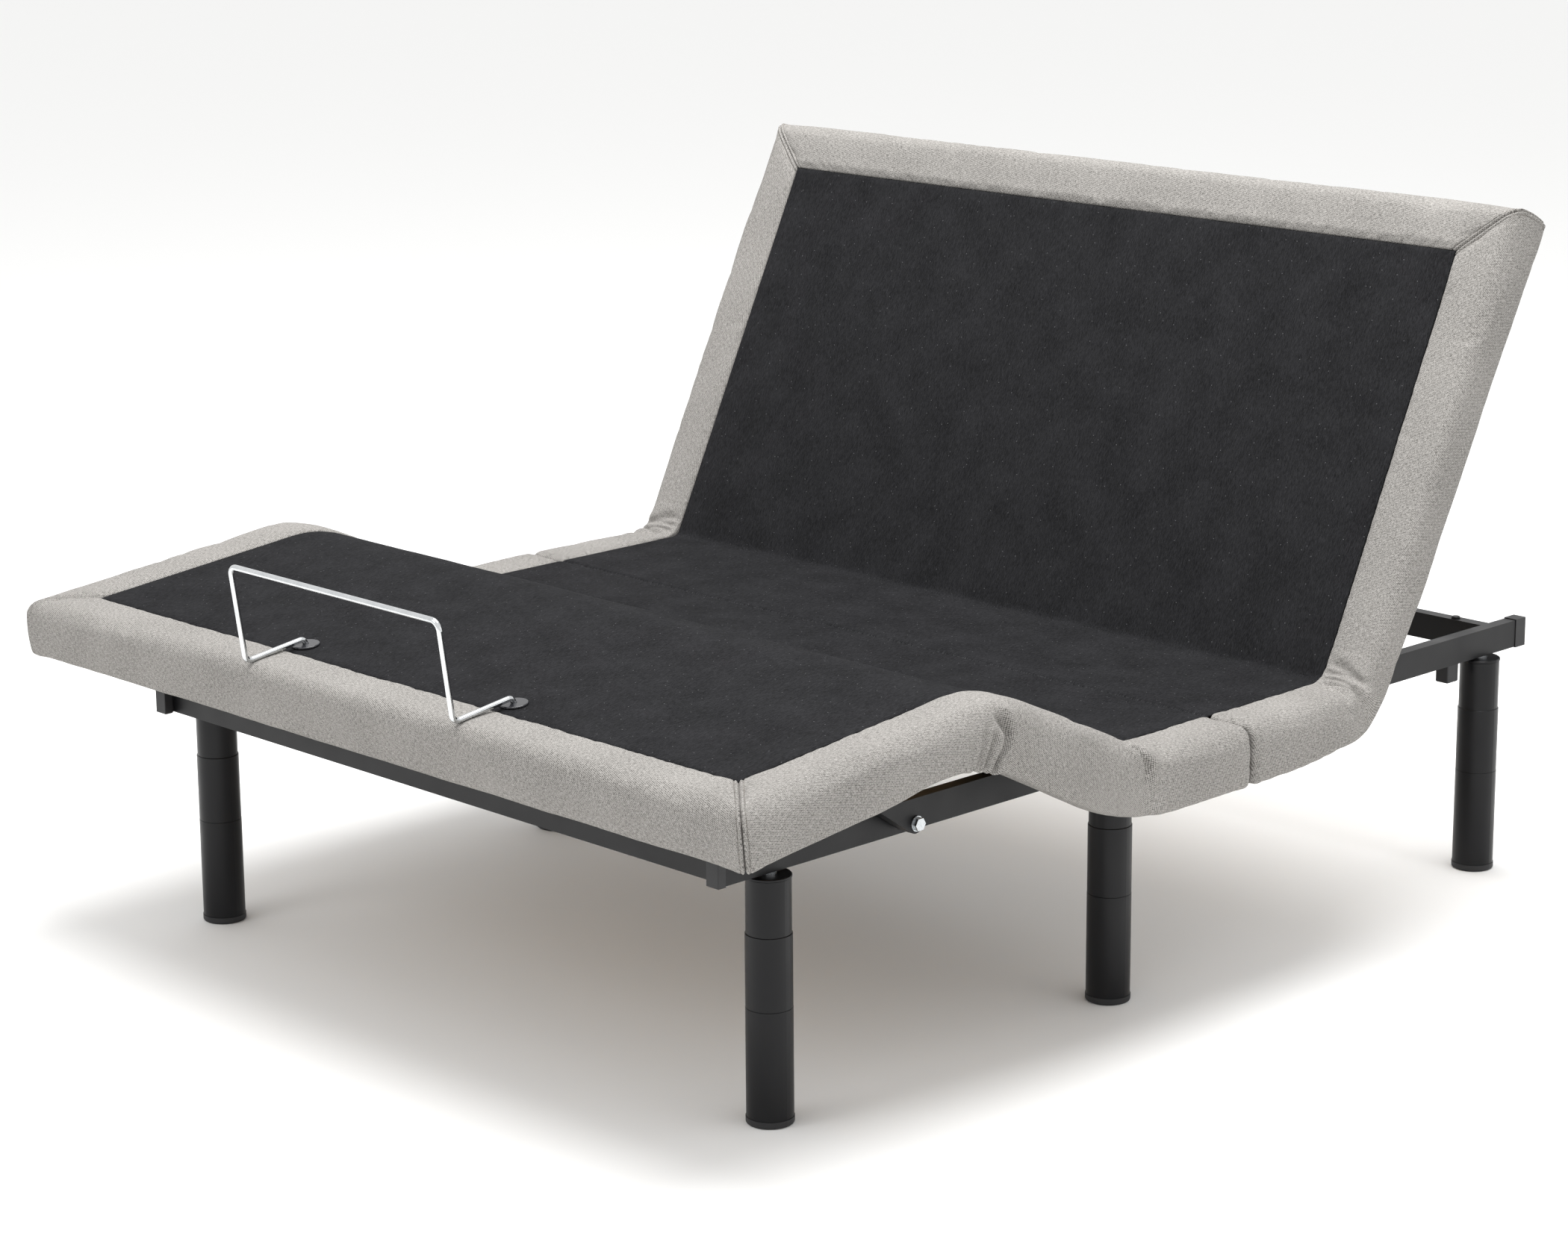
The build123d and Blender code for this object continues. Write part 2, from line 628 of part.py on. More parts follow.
# name, x, push pin (y, z) as drawn, push pin y when lowered, way it pushes
actuators = (
    ("head", head_actuator_x, head_push_y, head_push_z, back_y - head_reach, 1),
    ("leg", leg_actuator_x, leg_push_y, leg_push_z, hip_y + leg_reach, -1),
)
mounts = []
for name, x, push_y, z, low_y, way in actuators:
    mouth = low_y - way * slider_mouth
    tail = mouth - way * slider_length
    with BuildPart() as rod:
        with BuildSketch(Plane.XZ.offset(-(push_y - way * 12))):
            with Locations((x, z)):
                Circle(rod_radius)
        extrude(amount=way * (abs(push_y - low_y) + rod_overlap))
        block(x - 15, x + 15, push_y - fork_half, push_y + fork_half, z - fork_half, z + fork_half)
        chamfer(rod.edges().filter_by(Axis.X).group_by(Axis.Y)[0 if way < 0 else -1], 8)
        with BuildSketch(Plane.YZ.offset(x - 28)):
            with Locations((push_y, z)):
                Circle(push_pin)
        extrude(amount=56)
    rod.part.label = f"{name}_rod"
    export_step(rod.part, f"parts/{name}_rod.step")

    with BuildPart() as outer_tube:
        with BuildSketch(Plane.XZ.offset(-mouth)):
            with Locations((x, z)):
                Circle(slider_radius)
                Circle(rod_radius + 0.3, mode=Mode.SUBTRACT)
        extrude(amount=way * slider_length)
    outer_tube.part.label = f"{name}_actuator_tube"
    export_step(outer_tube.part, f"parts/{name}_actuator_tube.step")

    far = tail - way * gearbox_length
    half_x, half_z = gearbox_half
    with BuildPart() as motor:
        block(x - half_x, x + half_x, min(tail, far), max(tail, far), z - half_z, z + half_z)
        fillet(motor.edges().filter_by(Axis.Y), 8)
        side = 1 if x > 0 else -1
        with BuildSketch(Plane.YZ.offset(x + side * half_x)):
            with Locations(((tail + far) / 2, z)):
                Circle(motor_radius)
        extrude(amount=side * motor_length)
        fillet(motor.faces().sort_by(Axis.X)[-1 if side > 0 else 0].edges(), 6)
        tail_pin = far - way * tail_reach
        tail_end = tail_pin - way * tail_half
        block(x - tail_half, x + tail_half, min(far, tail_end), max(far, tail_end),
              z - tail_half, z + tail_half)
    motor.part.label = f"{name}_motor"
    export_step(motor.part, f"parts/{name}_motor.step")

    mounts.append((x, tail_pin, z))

# Plates under the cross rails that hold the tail of each actuator
with BuildPart() as motor_mounts:
    for (x, pin_y, z), (place, rail_y) in zip(mounts, cross_rails[1:3]):
        for x0 in (x - tail_half - lever_thick, x + tail_half):
            with BuildSketch(Plane.YZ.offset(x0)):
                with Locations((pin_y, z)):
                    Circle(tail_round)
                with Locations((rail_y + cross_wide / 2, rail_floor - 2)):
                    Rectangle(30, 4)
                make_hull()
            extrude(amount=lever_thick)
motor_mounts.part.label = "motor_mounts"
export_step(motor_mounts.part, "parts/motor_mounts.step")

with BuildPart() as control_box:
    block(-62, 62, 40, 178, 344, hinge_height + board_under)
    fillet(control_box.edges().filter_by(Axis.Z), 8)
    fillet(control_box.faces().sort_by(Axis.Z)[0].edges(), 3)
control_box.part.label = "control_box"
export_step(control_box.part, "parts/control_box.step")

with BuildPart() as power_supply:
    block(260, 420, 80, 150, 345, hinge_height + board_under)
    fillet(power_supply.edges().filter_by(Axis.Z), 10)
    fillet(power_supply.faces().sort_by(Axis.Z)[0].edges(), 4)
    block(415, 424, 101, 129, 354, 374)
    with BuildSketch(Plane.YZ.offset(424)):
        with Locations((115, 364)):
            Rectangle(22, 14)
    extrude(amount=-12, mode=Mode.SUBTRACT)
power_supply.part.label = "power_supply"
export_step(power_supply.part, "parts/power_supply.step")

# Seat support
with BuildPart() as splice_plates:
    for x in (-420, -200, 200, 450):
        block(x - 20, x + 20, split_y - 45, split_y + 45, hinge_height + board_under - 4,
              hinge_height + board_under)
splice_plates.part.label = "splice_plates"
export_step(splice_plates.part, "parts/splice_plates.step")

with BuildPart() as rail_strips:
    block(rail_in + 2, rail_out - 2, hip_y + 16, back_y - 16, rail_top,
          hinge_height + board_under)
    mirror(about=Plane.YZ)
rail_strips.part.label = "rail_strips"
export_step(rail_strips.part, "parts/rail_strips.step")

# Mattress retainer bar
with BuildPart(foot_deck) as bar_sockets:
    with BuildSketch(foot_deck.offset(board_under)):
        with Locations(*socket_spots):
            Circle(socket_radius)
    extrude(amount=surface - board_under)
    with BuildSketch(foot_deck.offset(surface)):
        with Locations(*socket_spots):
            Circle(socket_flange)
    extrude(amount=socket_lip)
    fillet(bar_sockets.faces().group_by(Axis(foot_deck.origin, foot_deck.z_dir))[-1].edges(), 1.5)
    with BuildSketch(foot_deck.offset(surface + socket_lip)):
        with Locations(*socket_spots):
            Circle(bar_wire + 0.4)
    extrude(amount=-(surface - board_under), mode=Mode.SUBTRACT)
bar_sockets.part.label = "bar_sockets"
export_step(bar_sockets.part, "parts/bar_sockets.step")

# The wire's centre line for one half, from the tip in the socket to the middle of the top
bar_half_line = (
    (bar_half, -bar_socket, surface - 24),
    (bar_half, -bar_socket, surface + 10),
    (bar_half, -bar_bend, surface + 6),
    (bar_half, -bar_top, surface + bar_height),
)
bar_line = list(bar_half_line) + [(-x, y, z) for x, y, z in reversed(bar_half_line)]
with BuildPart() as retainer_bar:
    with BuildLine() as route:
        world = [foot_deck.from_local_coords(Vector(*p)) for p in bar_line]
        FilletPolyline(*world, radius=(9, 10, 13, 13, 10, 9))
    with BuildSketch(Plane(origin=world[0], z_dir=foot_deck.z_dir)):
        Circle(bar_wire)
    sweep(path=route.line, transition=Transition.RIGHT)
retainer_bar.part.label = "retainer_bar"
export_step(retainer_bar.part, "parts/retainer_bar.step")
box = retainer_bar.part.bounding_box()
print("bar foot side", round(box.min.Y, 2), "rails' head end", rail_head_y + cap_wall)
print("hip", hip_y, hinge_height, "back", back_y, "knee", round(knee_y, 3), round(knee_z, 3))
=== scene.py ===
import json
import math
import bmesh
import bpy
import numpy as np
from mathutils import Matrix, Vector, noise


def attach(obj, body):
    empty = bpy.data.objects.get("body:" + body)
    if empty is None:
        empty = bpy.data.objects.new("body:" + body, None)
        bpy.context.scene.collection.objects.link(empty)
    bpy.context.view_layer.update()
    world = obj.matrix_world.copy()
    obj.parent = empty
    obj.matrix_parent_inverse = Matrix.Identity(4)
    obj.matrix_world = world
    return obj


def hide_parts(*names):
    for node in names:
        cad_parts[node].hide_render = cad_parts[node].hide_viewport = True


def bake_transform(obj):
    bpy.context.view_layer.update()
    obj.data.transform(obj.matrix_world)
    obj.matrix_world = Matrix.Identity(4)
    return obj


# Upholstered adjustable bed base. Metres, +Y towards the head, origin on the floor.

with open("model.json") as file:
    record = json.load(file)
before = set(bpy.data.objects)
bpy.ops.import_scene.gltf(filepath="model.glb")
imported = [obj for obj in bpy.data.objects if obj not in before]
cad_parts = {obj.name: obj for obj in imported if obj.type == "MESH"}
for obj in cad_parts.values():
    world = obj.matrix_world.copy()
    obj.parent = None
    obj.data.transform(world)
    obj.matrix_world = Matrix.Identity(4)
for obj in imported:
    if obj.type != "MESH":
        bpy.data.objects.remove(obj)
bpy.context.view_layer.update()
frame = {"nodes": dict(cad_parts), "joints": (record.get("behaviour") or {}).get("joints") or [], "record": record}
nodes = frame["nodes"]
mm = 0.001


def fromHex(code):
    values = [int(code[i:i + 2], 16) / 255 for i in (1, 3, 5)]
    linear = [v / 12.92 if v <= 0.04045 else ((v + 0.055) / 1.055) ** 2.4 for v in values]
    return linear + [1.0]


def addNode(tree, kind, links=None, **settings):
    node = tree.nodes.new(kind)
    for name, value in settings.items():
        setattr(node, name, value)
    for name, value in (links or {}).items():
        socket = node.inputs[name]
        if isinstance(value, bpy.types.NodeSocket):
            tree.links.new(value, socket)
        else:
            socket.default_value = value
    return node


# camera, floor and light

studio = {
    "cameraPlace": (3.9821, -3.9552, 1.8476),
    "azimuth": 45.86,
    "elevation": 14.18,
    "roll": -0.42,
    "lens": 89.2,
    "sensorWidth": 36.0,
    "clipEnd": 200.0,
    "floorColour": "#f4f4f3",
    "floorReach": 40.0,
    "skyStrength": 1.0,
    # name, place, aim, size, watts
    "lights": (("topLight", (0.3, 0.1, 4.2), (0, 0, 0.4), 3.2, 215.0),
               ("keyLight", (-0.8, -4.6, 3.2), (0, 0, 0.5), 2.4, 30.0),
               ("fillLight", (5.0, 1.2, 2.0), (0, 0, 0.5), 2.6, 6.0)),
}


def makeCamera():
    az, el, roll = (math.radians(studio[k]) for k in ("azimuth", "elevation", "roll"))
    back = Vector((math.sin(az) * math.cos(el), -math.cos(az) * math.cos(el), math.sin(el)))
    right = Vector((math.cos(az), math.sin(az), 0))
    up = back.cross(right)
    across = right * math.cos(roll) + up * math.sin(roll)
    upward = -right * math.sin(roll) + up * math.cos(roll)
    turn = Matrix((across, upward, back)).transposed().to_4x4()
    camera = bpy.data.objects.new("camera", bpy.data.cameras.new("camera"))
    camera.matrix_world = Matrix.Translation(studio["cameraPlace"]) @ turn
    camera.data.lens = studio["lens"]
    camera.data.sensor_width = studio["sensorWidth"]
    camera.data.clip_end = studio["clipEnd"]
    bpy.context.scene.collection.objects.link(camera)
    bpy.context.scene.camera = camera


def makeLight(name, place, aim, size, power):
    lamp = bpy.data.lights.new(name, "AREA")
    lamp.shape = "DISK"
    lamp.size = size
    lamp.energy = power
    light = bpy.data.objects.new(name, lamp)
    light.location = place
    light.rotation_mode = "QUATERNION"
    light.rotation_quaternion = (Vector(aim) - Vector(place)).to_track_quat("-Z", "Y")
    bpy.context.scene.collection.objects.link(light)


def makeStudio():
    makeCamera()
    bpy.context.scene.view_settings.view_transform = "Standard"
    for lamp in studio["lights"]:
        makeLight(*lamp)
    world = bpy.data.worlds.new("studioSky")
    bpy.context.scene.world = world
    world.use_nodes = True
    sky = world.node_tree.nodes["Background"]
    sky.inputs["Color"].default_value = (1, 1, 1, 1)
    sky.inputs["Strength"].default_value = studio["skyStrength"]
    mesh = bpy.data.meshes.new("floor")
    reach = studio["floorReach"]
    mesh.from_pydata([(-reach, -reach, 0), (reach, -reach, 0), (reach, reach, 0),
                      (-reach, reach, 0)], [], [(0, 1, 2, 3)])
    floor = bpy.data.objects.new("floor", mesh)
    bpy.context.scene.collection.objects.link(floor)
    paint = bpy.data.materials.new("paleFloor")
    paint.use_nodes = True
    shader = paint.node_tree.nodes["Principled BSDF"]
    shader.inputs["Base Color"].default_value = fromHex(studio["floorColour"])
    shader.inputs["Roughness"].default_value = 0.9
    shader.inputs["Specular IOR Level"].default_value = 0.1
    mesh.materials.append(paint)


makeStudio()
print("studio ready")


# finishes

def newMaterial(name):
    material = bpy.data.materials.new(name)
    material.use_nodes = True
    tree = material.node_tree
    return material, tree, tree.nodes["Principled BSDF"]


def setShader(shader, **values):
    for name, value in values.items():
        shader.inputs[name.replace("_", " ")].default_value = value


def perMetre(millimetres):
    return 1000 / millimetres


# Heathered polyester, woven: two yarn shades in a close twill, so it sparkles light and dark
# and never shines.
wovenCloth = {
    "yarnPitch": 3.3,          # mm; the real yarn is 0.8, too fine to show
    "lightYarn": "#a5a29e",
    "darkYarn": "#484643",
    "heatherLength": 6.0,
    "heatherWidth": 1.4,
    "ribShade": 0.2,
    "slub": 120.0,
    "slubShade": 0.08,
    "darkAt": 0.29,
    "lightAt": 0.62,
    "relief": 0.6,
}


def makeWovenCloth():
    material, tree, shader = newMaterial("heatheredWovenPolyester")
    w = wovenCloth
    cloth = addNode(tree, "ShaderNodeUVMap", uv_map="clothMap")
    pitch = perMetre(w["yarnPitch"])
    place = addNode(tree, "ShaderNodeMapping",
                    {"Vector": cloth.outputs["UV"], "Scale": (pitch, pitch, 1)})
    split = addNode(tree, "ShaderNodeSeparateXYZ", {"Vector": place.outputs["Vector"]})
    # twill: raised yarn runs along the diagonal
    total = addNode(tree, "ShaderNodeMath", {0: split.outputs["X"], 1: split.outputs["Y"]},
                    operation="ADD")
    apart = addNode(tree, "ShaderNodeMath", {0: split.outputs["X"], 1: split.outputs["Y"]},
                    operation="SUBTRACT")
    ribAngle = addNode(tree, "ShaderNodeMath", {0: total.outputs[0], 1: math.pi},
                       operation="MULTIPLY")
    rib = addNode(tree, "ShaderNodeMath", {0: ribAngle.outputs[0]}, operation="SINE")
    crossAngle = addNode(tree, "ShaderNodeMath", {0: apart.outputs[0], 1: 2 * math.pi},
                         operation="MULTIPLY")
    crossRib = addNode(tree, "ShaderNodeMath", {0: crossAngle.outputs[0]}, operation="SINE")
    weave = addNode(tree, "ShaderNodeMath", {0: rib.outputs[0], 1: crossRib.outputs[0]},
                    operation="MULTIPLY")
    # heather: each yarn changes shade along its length
    shades = []
    for along, across in ((w["heatherLength"], w["heatherWidth"]),
                          (w["heatherWidth"], w["heatherLength"])):
        spot = addNode(tree, "ShaderNodeMapping",
                       {"Vector": cloth.outputs["UV"],
                        "Scale": (perMetre(along), perMetre(across), 1)})
        shades.append(addNode(tree, "ShaderNodeTexNoise",
                              {"Vector": spot.outputs["Vector"], "Scale": 1.0, "Detail": 3.0,
                               "Roughness": 0.7}, noise_dimensions="2D"))
    choose = addNode(tree, "ShaderNodeMath", {0: weave.outputs[0], 1: 0.0},
                     operation="GREATER_THAN")
    heather = addNode(tree, "ShaderNodeMix",
                      {"Factor": choose.outputs[0], 2: shades[0].outputs["Fac"],
                       3: shades[1].outputs["Fac"]}, data_type="FLOAT")
    lift = addNode(tree, "ShaderNodeMath", {0: weave.outputs[0], 1: w["ribShade"], 2: 0.0},
                   operation="MULTIPLY_ADD")
    slub = addNode(tree, "ShaderNodeTexNoise",
                   {"Vector": cloth.outputs["UV"], "Scale": perMetre(w["slub"]), "Detail": 2.0},
                   noise_dimensions="2D")
    slubLift = addNode(tree, "ShaderNodeMath",
                       {0: slub.outputs["Fac"], 1: w["slubShade"], 2: -w["slubShade"] / 2},
                       operation="MULTIPLY_ADD")
    shade = addNode(tree, "ShaderNodeMath", {0: heather.outputs[0], 1: lift.outputs[0]},
                    operation="ADD")
    shadeAll = addNode(tree, "ShaderNodeMath", {0: shade.outputs[0], 1: slubLift.outputs[0]},
                       operation="ADD")
    ramp = addNode(tree, "ShaderNodeValToRGB", {"Fac": shadeAll.outputs[0]})
    ramp.color_ramp.elements[0].position = w["darkAt"]
    ramp.color_ramp.elements[0].color = fromHex(w["darkYarn"])
    ramp.color_ramp.elements[1].position = w["lightAt"]
    ramp.color_ramp.elements[1].color = fromHex(w["lightYarn"])
    height = addNode(tree, "ShaderNodeMath", {0: weave.outputs[0], 1: 0.5, 2: 0.5},
                     operation="MULTIPLY_ADD")
    fuzz = addNode(tree, "ShaderNodeMath", {0: heather.outputs[0], 1: height.outputs[0]},
                   operation="ADD")
    bump = addNode(tree, "ShaderNodeBump",
                   {"Height": fuzz.outputs[0], "Strength": 0.55,
                    "Distance": w["relief"] * mm})
    tree.links.new(ramp.outputs["Color"], shader.inputs["Base Color"])
    tree.links.new(bump.outputs["Normal"], shader.inputs["Normal"])
    setShader(shader, Roughness=0.95, Specular_IOR_Level=0.1)
    return material


# Needle-punched polypropylene felt: matt charcoal with short loose fibres lying all ways.
needleFelt = {
    "fibreLength": 9.0,
    "fibreWidth": 1.3,
    "dark": "#141415",
    "light": "#313133",
    "lintAndHighlight": "#8a8a8c",
    "splitHighlightLine": 0.5205,        # m from the knee; a painted highlight, a pale line along the seat's split
    "splitHighlightHalf": 0.003,
    "cloudSize": 70.0,
    "cloudShade": 0.2,
    "speckSpacing": 34.0,
    "speckSize": 0.022,        # share of the spacing
    "markStrength": 0.3,
    "relief": 0.7,
}


def makeNeedleFelt():
    material, tree, shader = newMaterial("needlePunchedFelt")
    n = needleFelt
    cloth = addNode(tree, "ShaderNodeUVMap", uv_map="clothMap")
    layers = None
    for i, turn in enumerate((12, 74, 131)):
        spot = addNode(tree, "ShaderNodeMapping",
                       {"Vector": cloth.outputs["UV"], "Rotation": (0, 0, math.radians(turn)),
                        "Scale": (perMetre(n["fibreLength"]), perMetre(n["fibreWidth"]), 1)})
        fibre = addNode(tree, "ShaderNodeTexNoise",
                        {"Vector": spot.outputs["Vector"], "Scale": 1.0, "Detail": 3.0,
                         "Distortion": 0.6 + 0.2 * i}, noise_dimensions="2D")
        layers = fibre.outputs["Fac"] if layers is None else addNode(
            tree, "ShaderNodeMath", {0: layers, 1: fibre.outputs["Fac"]},
            operation="MAXIMUM").outputs[0]
    cloud = addNode(tree, "ShaderNodeTexNoise",
                    {"Vector": cloth.outputs["UV"], "Scale": perMetre(n["cloudSize"]),
                     "Detail": 4.0},
                    noise_dimensions="2D")
    cloudLift = addNode(tree, "ShaderNodeMath",
                        {0: cloud.outputs["Fac"], 1: n["cloudShade"], 2: -n["cloudShade"] / 2},
                        operation="MULTIPLY_ADD")
    shade = addNode(tree, "ShaderNodeMath", {0: layers, 1: cloudLift.outputs[0]},
                    operation="ADD")
    ramp = addNode(tree, "ShaderNodeValToRGB", {"Fac": shade.outputs[0]})
    ramp.color_ramp.elements[0].position = 0.42
    ramp.color_ramp.elements[0].color = fromHex(n["dark"])
    ramp.color_ramp.elements[1].position = 0.86
    ramp.color_ramp.elements[1].color = fromHex(n["light"])
    speck = addNode(tree, "ShaderNodeTexVoronoi",
                    {"Vector": cloth.outputs["UV"], "Scale": perMetre(n["speckSpacing"]),
                     "Randomness": 1.0}, voronoi_dimensions="2D")
    isSpeck = addNode(tree, "ShaderNodeMath", {0: speck.outputs["Distance"], 1: n["speckSize"]},
                      operation="LESS_THAN")
    split = addNode(tree, "ShaderNodeSeparateXYZ", {"Vector": cloth.outputs["UV"]})
    # painted highlight: a thin pale line in the lint colour along the seat's split, broken up by the fibres
    nearSplit = addNode(tree, "ShaderNodeMath",
                        {0: split.outputs["X"], 1: n["splitHighlightLine"], 2: n["splitHighlightHalf"]},
                        operation="COMPARE")
    patchy = addNode(tree, "ShaderNodeMath", {0: layers, 1: 1.8, 2: -0.95},
                     operation="MULTIPLY_ADD", use_clamp=True)
    splitHighlight = addNode(tree, "ShaderNodeMath", {0: nearSplit.outputs[0], 1: patchy.outputs[0]},
                   operation="MULTIPLY")
    # real lint specks, plus the painted highlight along the split
    marks = addNode(tree, "ShaderNodeMath", {0: isSpeck.outputs[0], 1: splitHighlight.outputs[0]},
                    operation="MAXIMUM")
    strength = addNode(tree, "ShaderNodeMath", {0: marks.outputs[0], 1: n["markStrength"]},
                       operation="MULTIPLY")
    colour = addNode(tree, "ShaderNodeMix",
                     {"Factor": strength.outputs[0], 6: ramp.outputs["Color"],
                      7: fromHex(n["lintAndHighlight"])}, data_type="RGBA")
    bump = addNode(tree, "ShaderNodeBump",
                   {"Height": shade.outputs[0], "Strength": 0.5,
                    "Distance": n["relief"] * mm})
    tree.links.new(colour.outputs[2], shader.inputs["Base Color"])
    tree.links.new(bump.outputs["Normal"], shader.inputs["Normal"])
    setShader(shader, Roughness=0.95, Specular_IOR_Level=0.06)
    return material


def roughPattern(name, colour, dark, roughness, spread, grain, bumpDepth, coarse=60.0,
                 metal=0.0, specular=0.5, stretch=(1, 1, 1), bumpStrength=0.3):
    material, tree, shader = newMaterial(name)
    where = addNode(tree, "ShaderNodeTexCoord")
    spot = addNode(tree, "ShaderNodeMapping",
                   {"Vector": where.outputs["Object"], "Scale": stretch})
    fine = addNode(tree, "ShaderNodeTexNoise",
                   {"Vector": spot.outputs["Vector"], "Scale": perMetre(grain),
                    "Detail": 3.0})
    cloud = addNode(tree, "ShaderNodeTexNoise",
                    {"Vector": spot.outputs["Vector"], "Scale": perMetre(coarse),
                     "Detail": 3.0})
    blend = addNode(tree, "ShaderNodeMix",
                    {"Factor": 0.5, 2: fine.outputs["Fac"], 3: cloud.outputs["Fac"]},
                    data_type="FLOAT")
    ramp = addNode(tree, "ShaderNodeValToRGB", {"Fac": blend.outputs[0]})
    ramp.color_ramp.elements[0].position = 0.32
    ramp.color_ramp.elements[0].color = fromHex(dark)
    ramp.color_ramp.elements[1].position = 0.68
    ramp.color_ramp.elements[1].color = fromHex(colour)
    shine = addNode(tree, "ShaderNodeMapRange",
                    {"Value": cloud.outputs["Fac"], "From Min": 0.3, "From Max": 0.7,
                     "To Min": roughness - spread, "To Max": roughness + spread})
    bump = addNode(tree, "ShaderNodeBump",
                   {"Height": fine.outputs["Fac"], "Strength": bumpStrength,
                    "Distance": bumpDepth * mm})
    tree.links.new(ramp.outputs["Color"], shader.inputs["Base Color"])
    tree.links.new(shine.outputs["Result"], shader.inputs["Roughness"])
    tree.links.new(bump.outputs["Normal"], shader.inputs["Normal"])
    setShader(shader, Metallic=metal, Specular_IOR_Level=specular)
    return material


def makePlywood():
    # Poplar plywood, rotary cut and sanded: long pale grain with darker lines
    material, tree, shader = newMaterial("sandedPoplarPly")
    where = addNode(tree, "ShaderNodeTexCoord")
    spot = addNode(tree, "ShaderNodeMapping",
                   {"Vector": where.outputs["Object"], "Scale": (0.05, 1.0, 1.0)})
    grain = addNode(tree, "ShaderNodeTexNoise",
                    {"Vector": spot.outputs["Vector"], "Scale": perMetre(9.0),
                     "Detail": 6.0, "Roughness": 0.65, "Distortion": 0.8})
    ramp = addNode(tree, "ShaderNodeValToRGB", {"Fac": grain.outputs["Fac"]})
    ramp.color_ramp.elements[0].position = 0.25
    ramp.color_ramp.elements[0].color = fromHex("#8f7352")
    ramp.color_ramp.elements[1].position = 0.7
    ramp.color_ramp.elements[1].color = fromHex("#b89c76")
    bump = addNode(tree, "ShaderNodeBump",
                   {"Height": grain.outputs["Fac"], "Strength": 0.2, "Distance": 0.3 * mm})
    tree.links.new(ramp.outputs["Color"], shader.inputs["Base Color"])
    tree.links.new(bump.outputs["Normal"], shader.inputs["Normal"])
    setShader(shader, Roughness=0.68, Specular_IOR_Level=0.3)
    return material


finish = {
    "cloth": makeWovenCloth(),
    "felt": makeNeedleFelt(),
    "ply": makePlywood(),
    # satin polyester powder coat on steel: faint orange peel, soft highlights
    "frame": roughPattern("satinPowderCoat", "#0f0f11", "#09090b", 0.42, 0.06, 1.6, 0.12,
                          specular=0.28),
    "leg": roughPattern("satinBlackLegCoat", "#0d0d10", "#08080a", 0.38, 0.05, 1.3, 0.08,
                        specular=0.26),
    # moulded black nylon and ABS: fine spark-eroded grain
    "moulded": roughPattern("mouldedBlackNylon", "#1d1d1f", "#131315", 0.55, 0.06, 0.9, 0.1),
    "socket": roughPattern("glossBlackAbs", "#2c2c30", "#1e1e21", 0.2, 0.05, 1.1, 0.03),
    # bright zinc plate: pale metal, slightly cloudy
    "zinc": roughPattern("brightZincPlate", "#c9ccce", "#a9adb0", 0.28, 0.1, 2.0, 0.05,
                         metal=1.0, coarse=9.0),
    # nickel-chrome plated wire, drawn and polished
    "chrome": roughPattern("polishedChromePlate", "#dcdedf", "#c4c7c9", 0.1, 0.04, 3.0, 0.02,
                           metal=1.0, coarse=25.0),
    "alu": roughPattern("satinAnodisedAluminium", "#b9bcbe", "#9fa2a4", 0.34, 0.06, 1.5, 0.04,
                        metal=1.0, stretch=(4, 0.3, 4)),
    "rubber": roughPattern("matteRubberStrip", "#1b1b1c", "#121213", 0.8, 0.06, 1.4, 0.15,
                           specular=0.35),
    "thread": roughPattern("bondedSewingThread", "#7d7771", "#625d58", 0.7, 0.08, 0.6, 0.1,
                           coarse=6.0, specular=0.35),
}

slotFinish = {
    "frame_black": "frame", "leg_black": "leg", "moulded_black": "moulded",
    "socket_black": "socket", "zinc": "zinc", "chrome": "chrome", "tube_alu": "alu",
    "plywood": "ply", "cover_grey": "cloth", "cover_black": "felt", "strip_rubber": "rubber",
}


def finishNodes():
    slots = {part["node"]: part["material_slot"] for part in frame["record"]["subparts"]}
    for name, obj in nodes.items():
        material = finish[slotFinish[slots[name]]]
        if not obj.material_slots:
            obj.data.materials.append(material)
        for materialSlot in obj.material_slots:
            materialSlot.material = material


finishNodes()
print("finishes on the steel, wood and plastic")


# the deck seen from the side

joints = {j["name"]: j for j in frame["joints"]}
knee, hip, back = (joints[k]["pos_m"] for k in ("knee_fold", "leg_lift", "head_lift"))
deck = {
    "surface": 22.0,        # top of the cover above the hinge line
    "footSlope": 5.83,
    "headSlope": 64.0,
    "footLength": 478.0,
    "headLength": 744.0,
    "halfWidth": 762.0,
    "panelHalf": 677.0,
    "endBand": 78.0,
    "footLow": 62.0,        # the end bolsters' lower edge below the hinge line
    "headLow": 58.0,
    "splitAt": 520.5,       # where the seat opens, from the knee
    "splitGap": 8.0,
    "thighHalf": 161.0,     # where the cover's two hinge pieces meet
    "borderCurves": (48.0, 22.0, 40.0),     # rounding of the knee, hip and back bends
    "feltCurves": (48.0, 14.0, 22.0),
}
thighLength = math.hypot(knee[1] - hip[1], knee[2] - hip[2]) / mm
seatLength = (back[1] - hip[1]) / mm
thighSlope = -math.degrees(math.asin((knee[2] - hip[2]) / mm / thighLength))
hipAt = thighLength
backAt = thighLength + seatLength
headEnd = backAt + deck["headLength"]
footEnd = -deck["footLength"]
# section: origin, slope, place of the origin along the cover from the knee
sections = {
    "foot": (knee, deck["footSlope"], 0.0),
    "thigh": (hip, thighSlope, hipAt),
    "seat": (hip, 0.0, hipAt),
    "head": (back, deck["headSlope"], backAt),
}
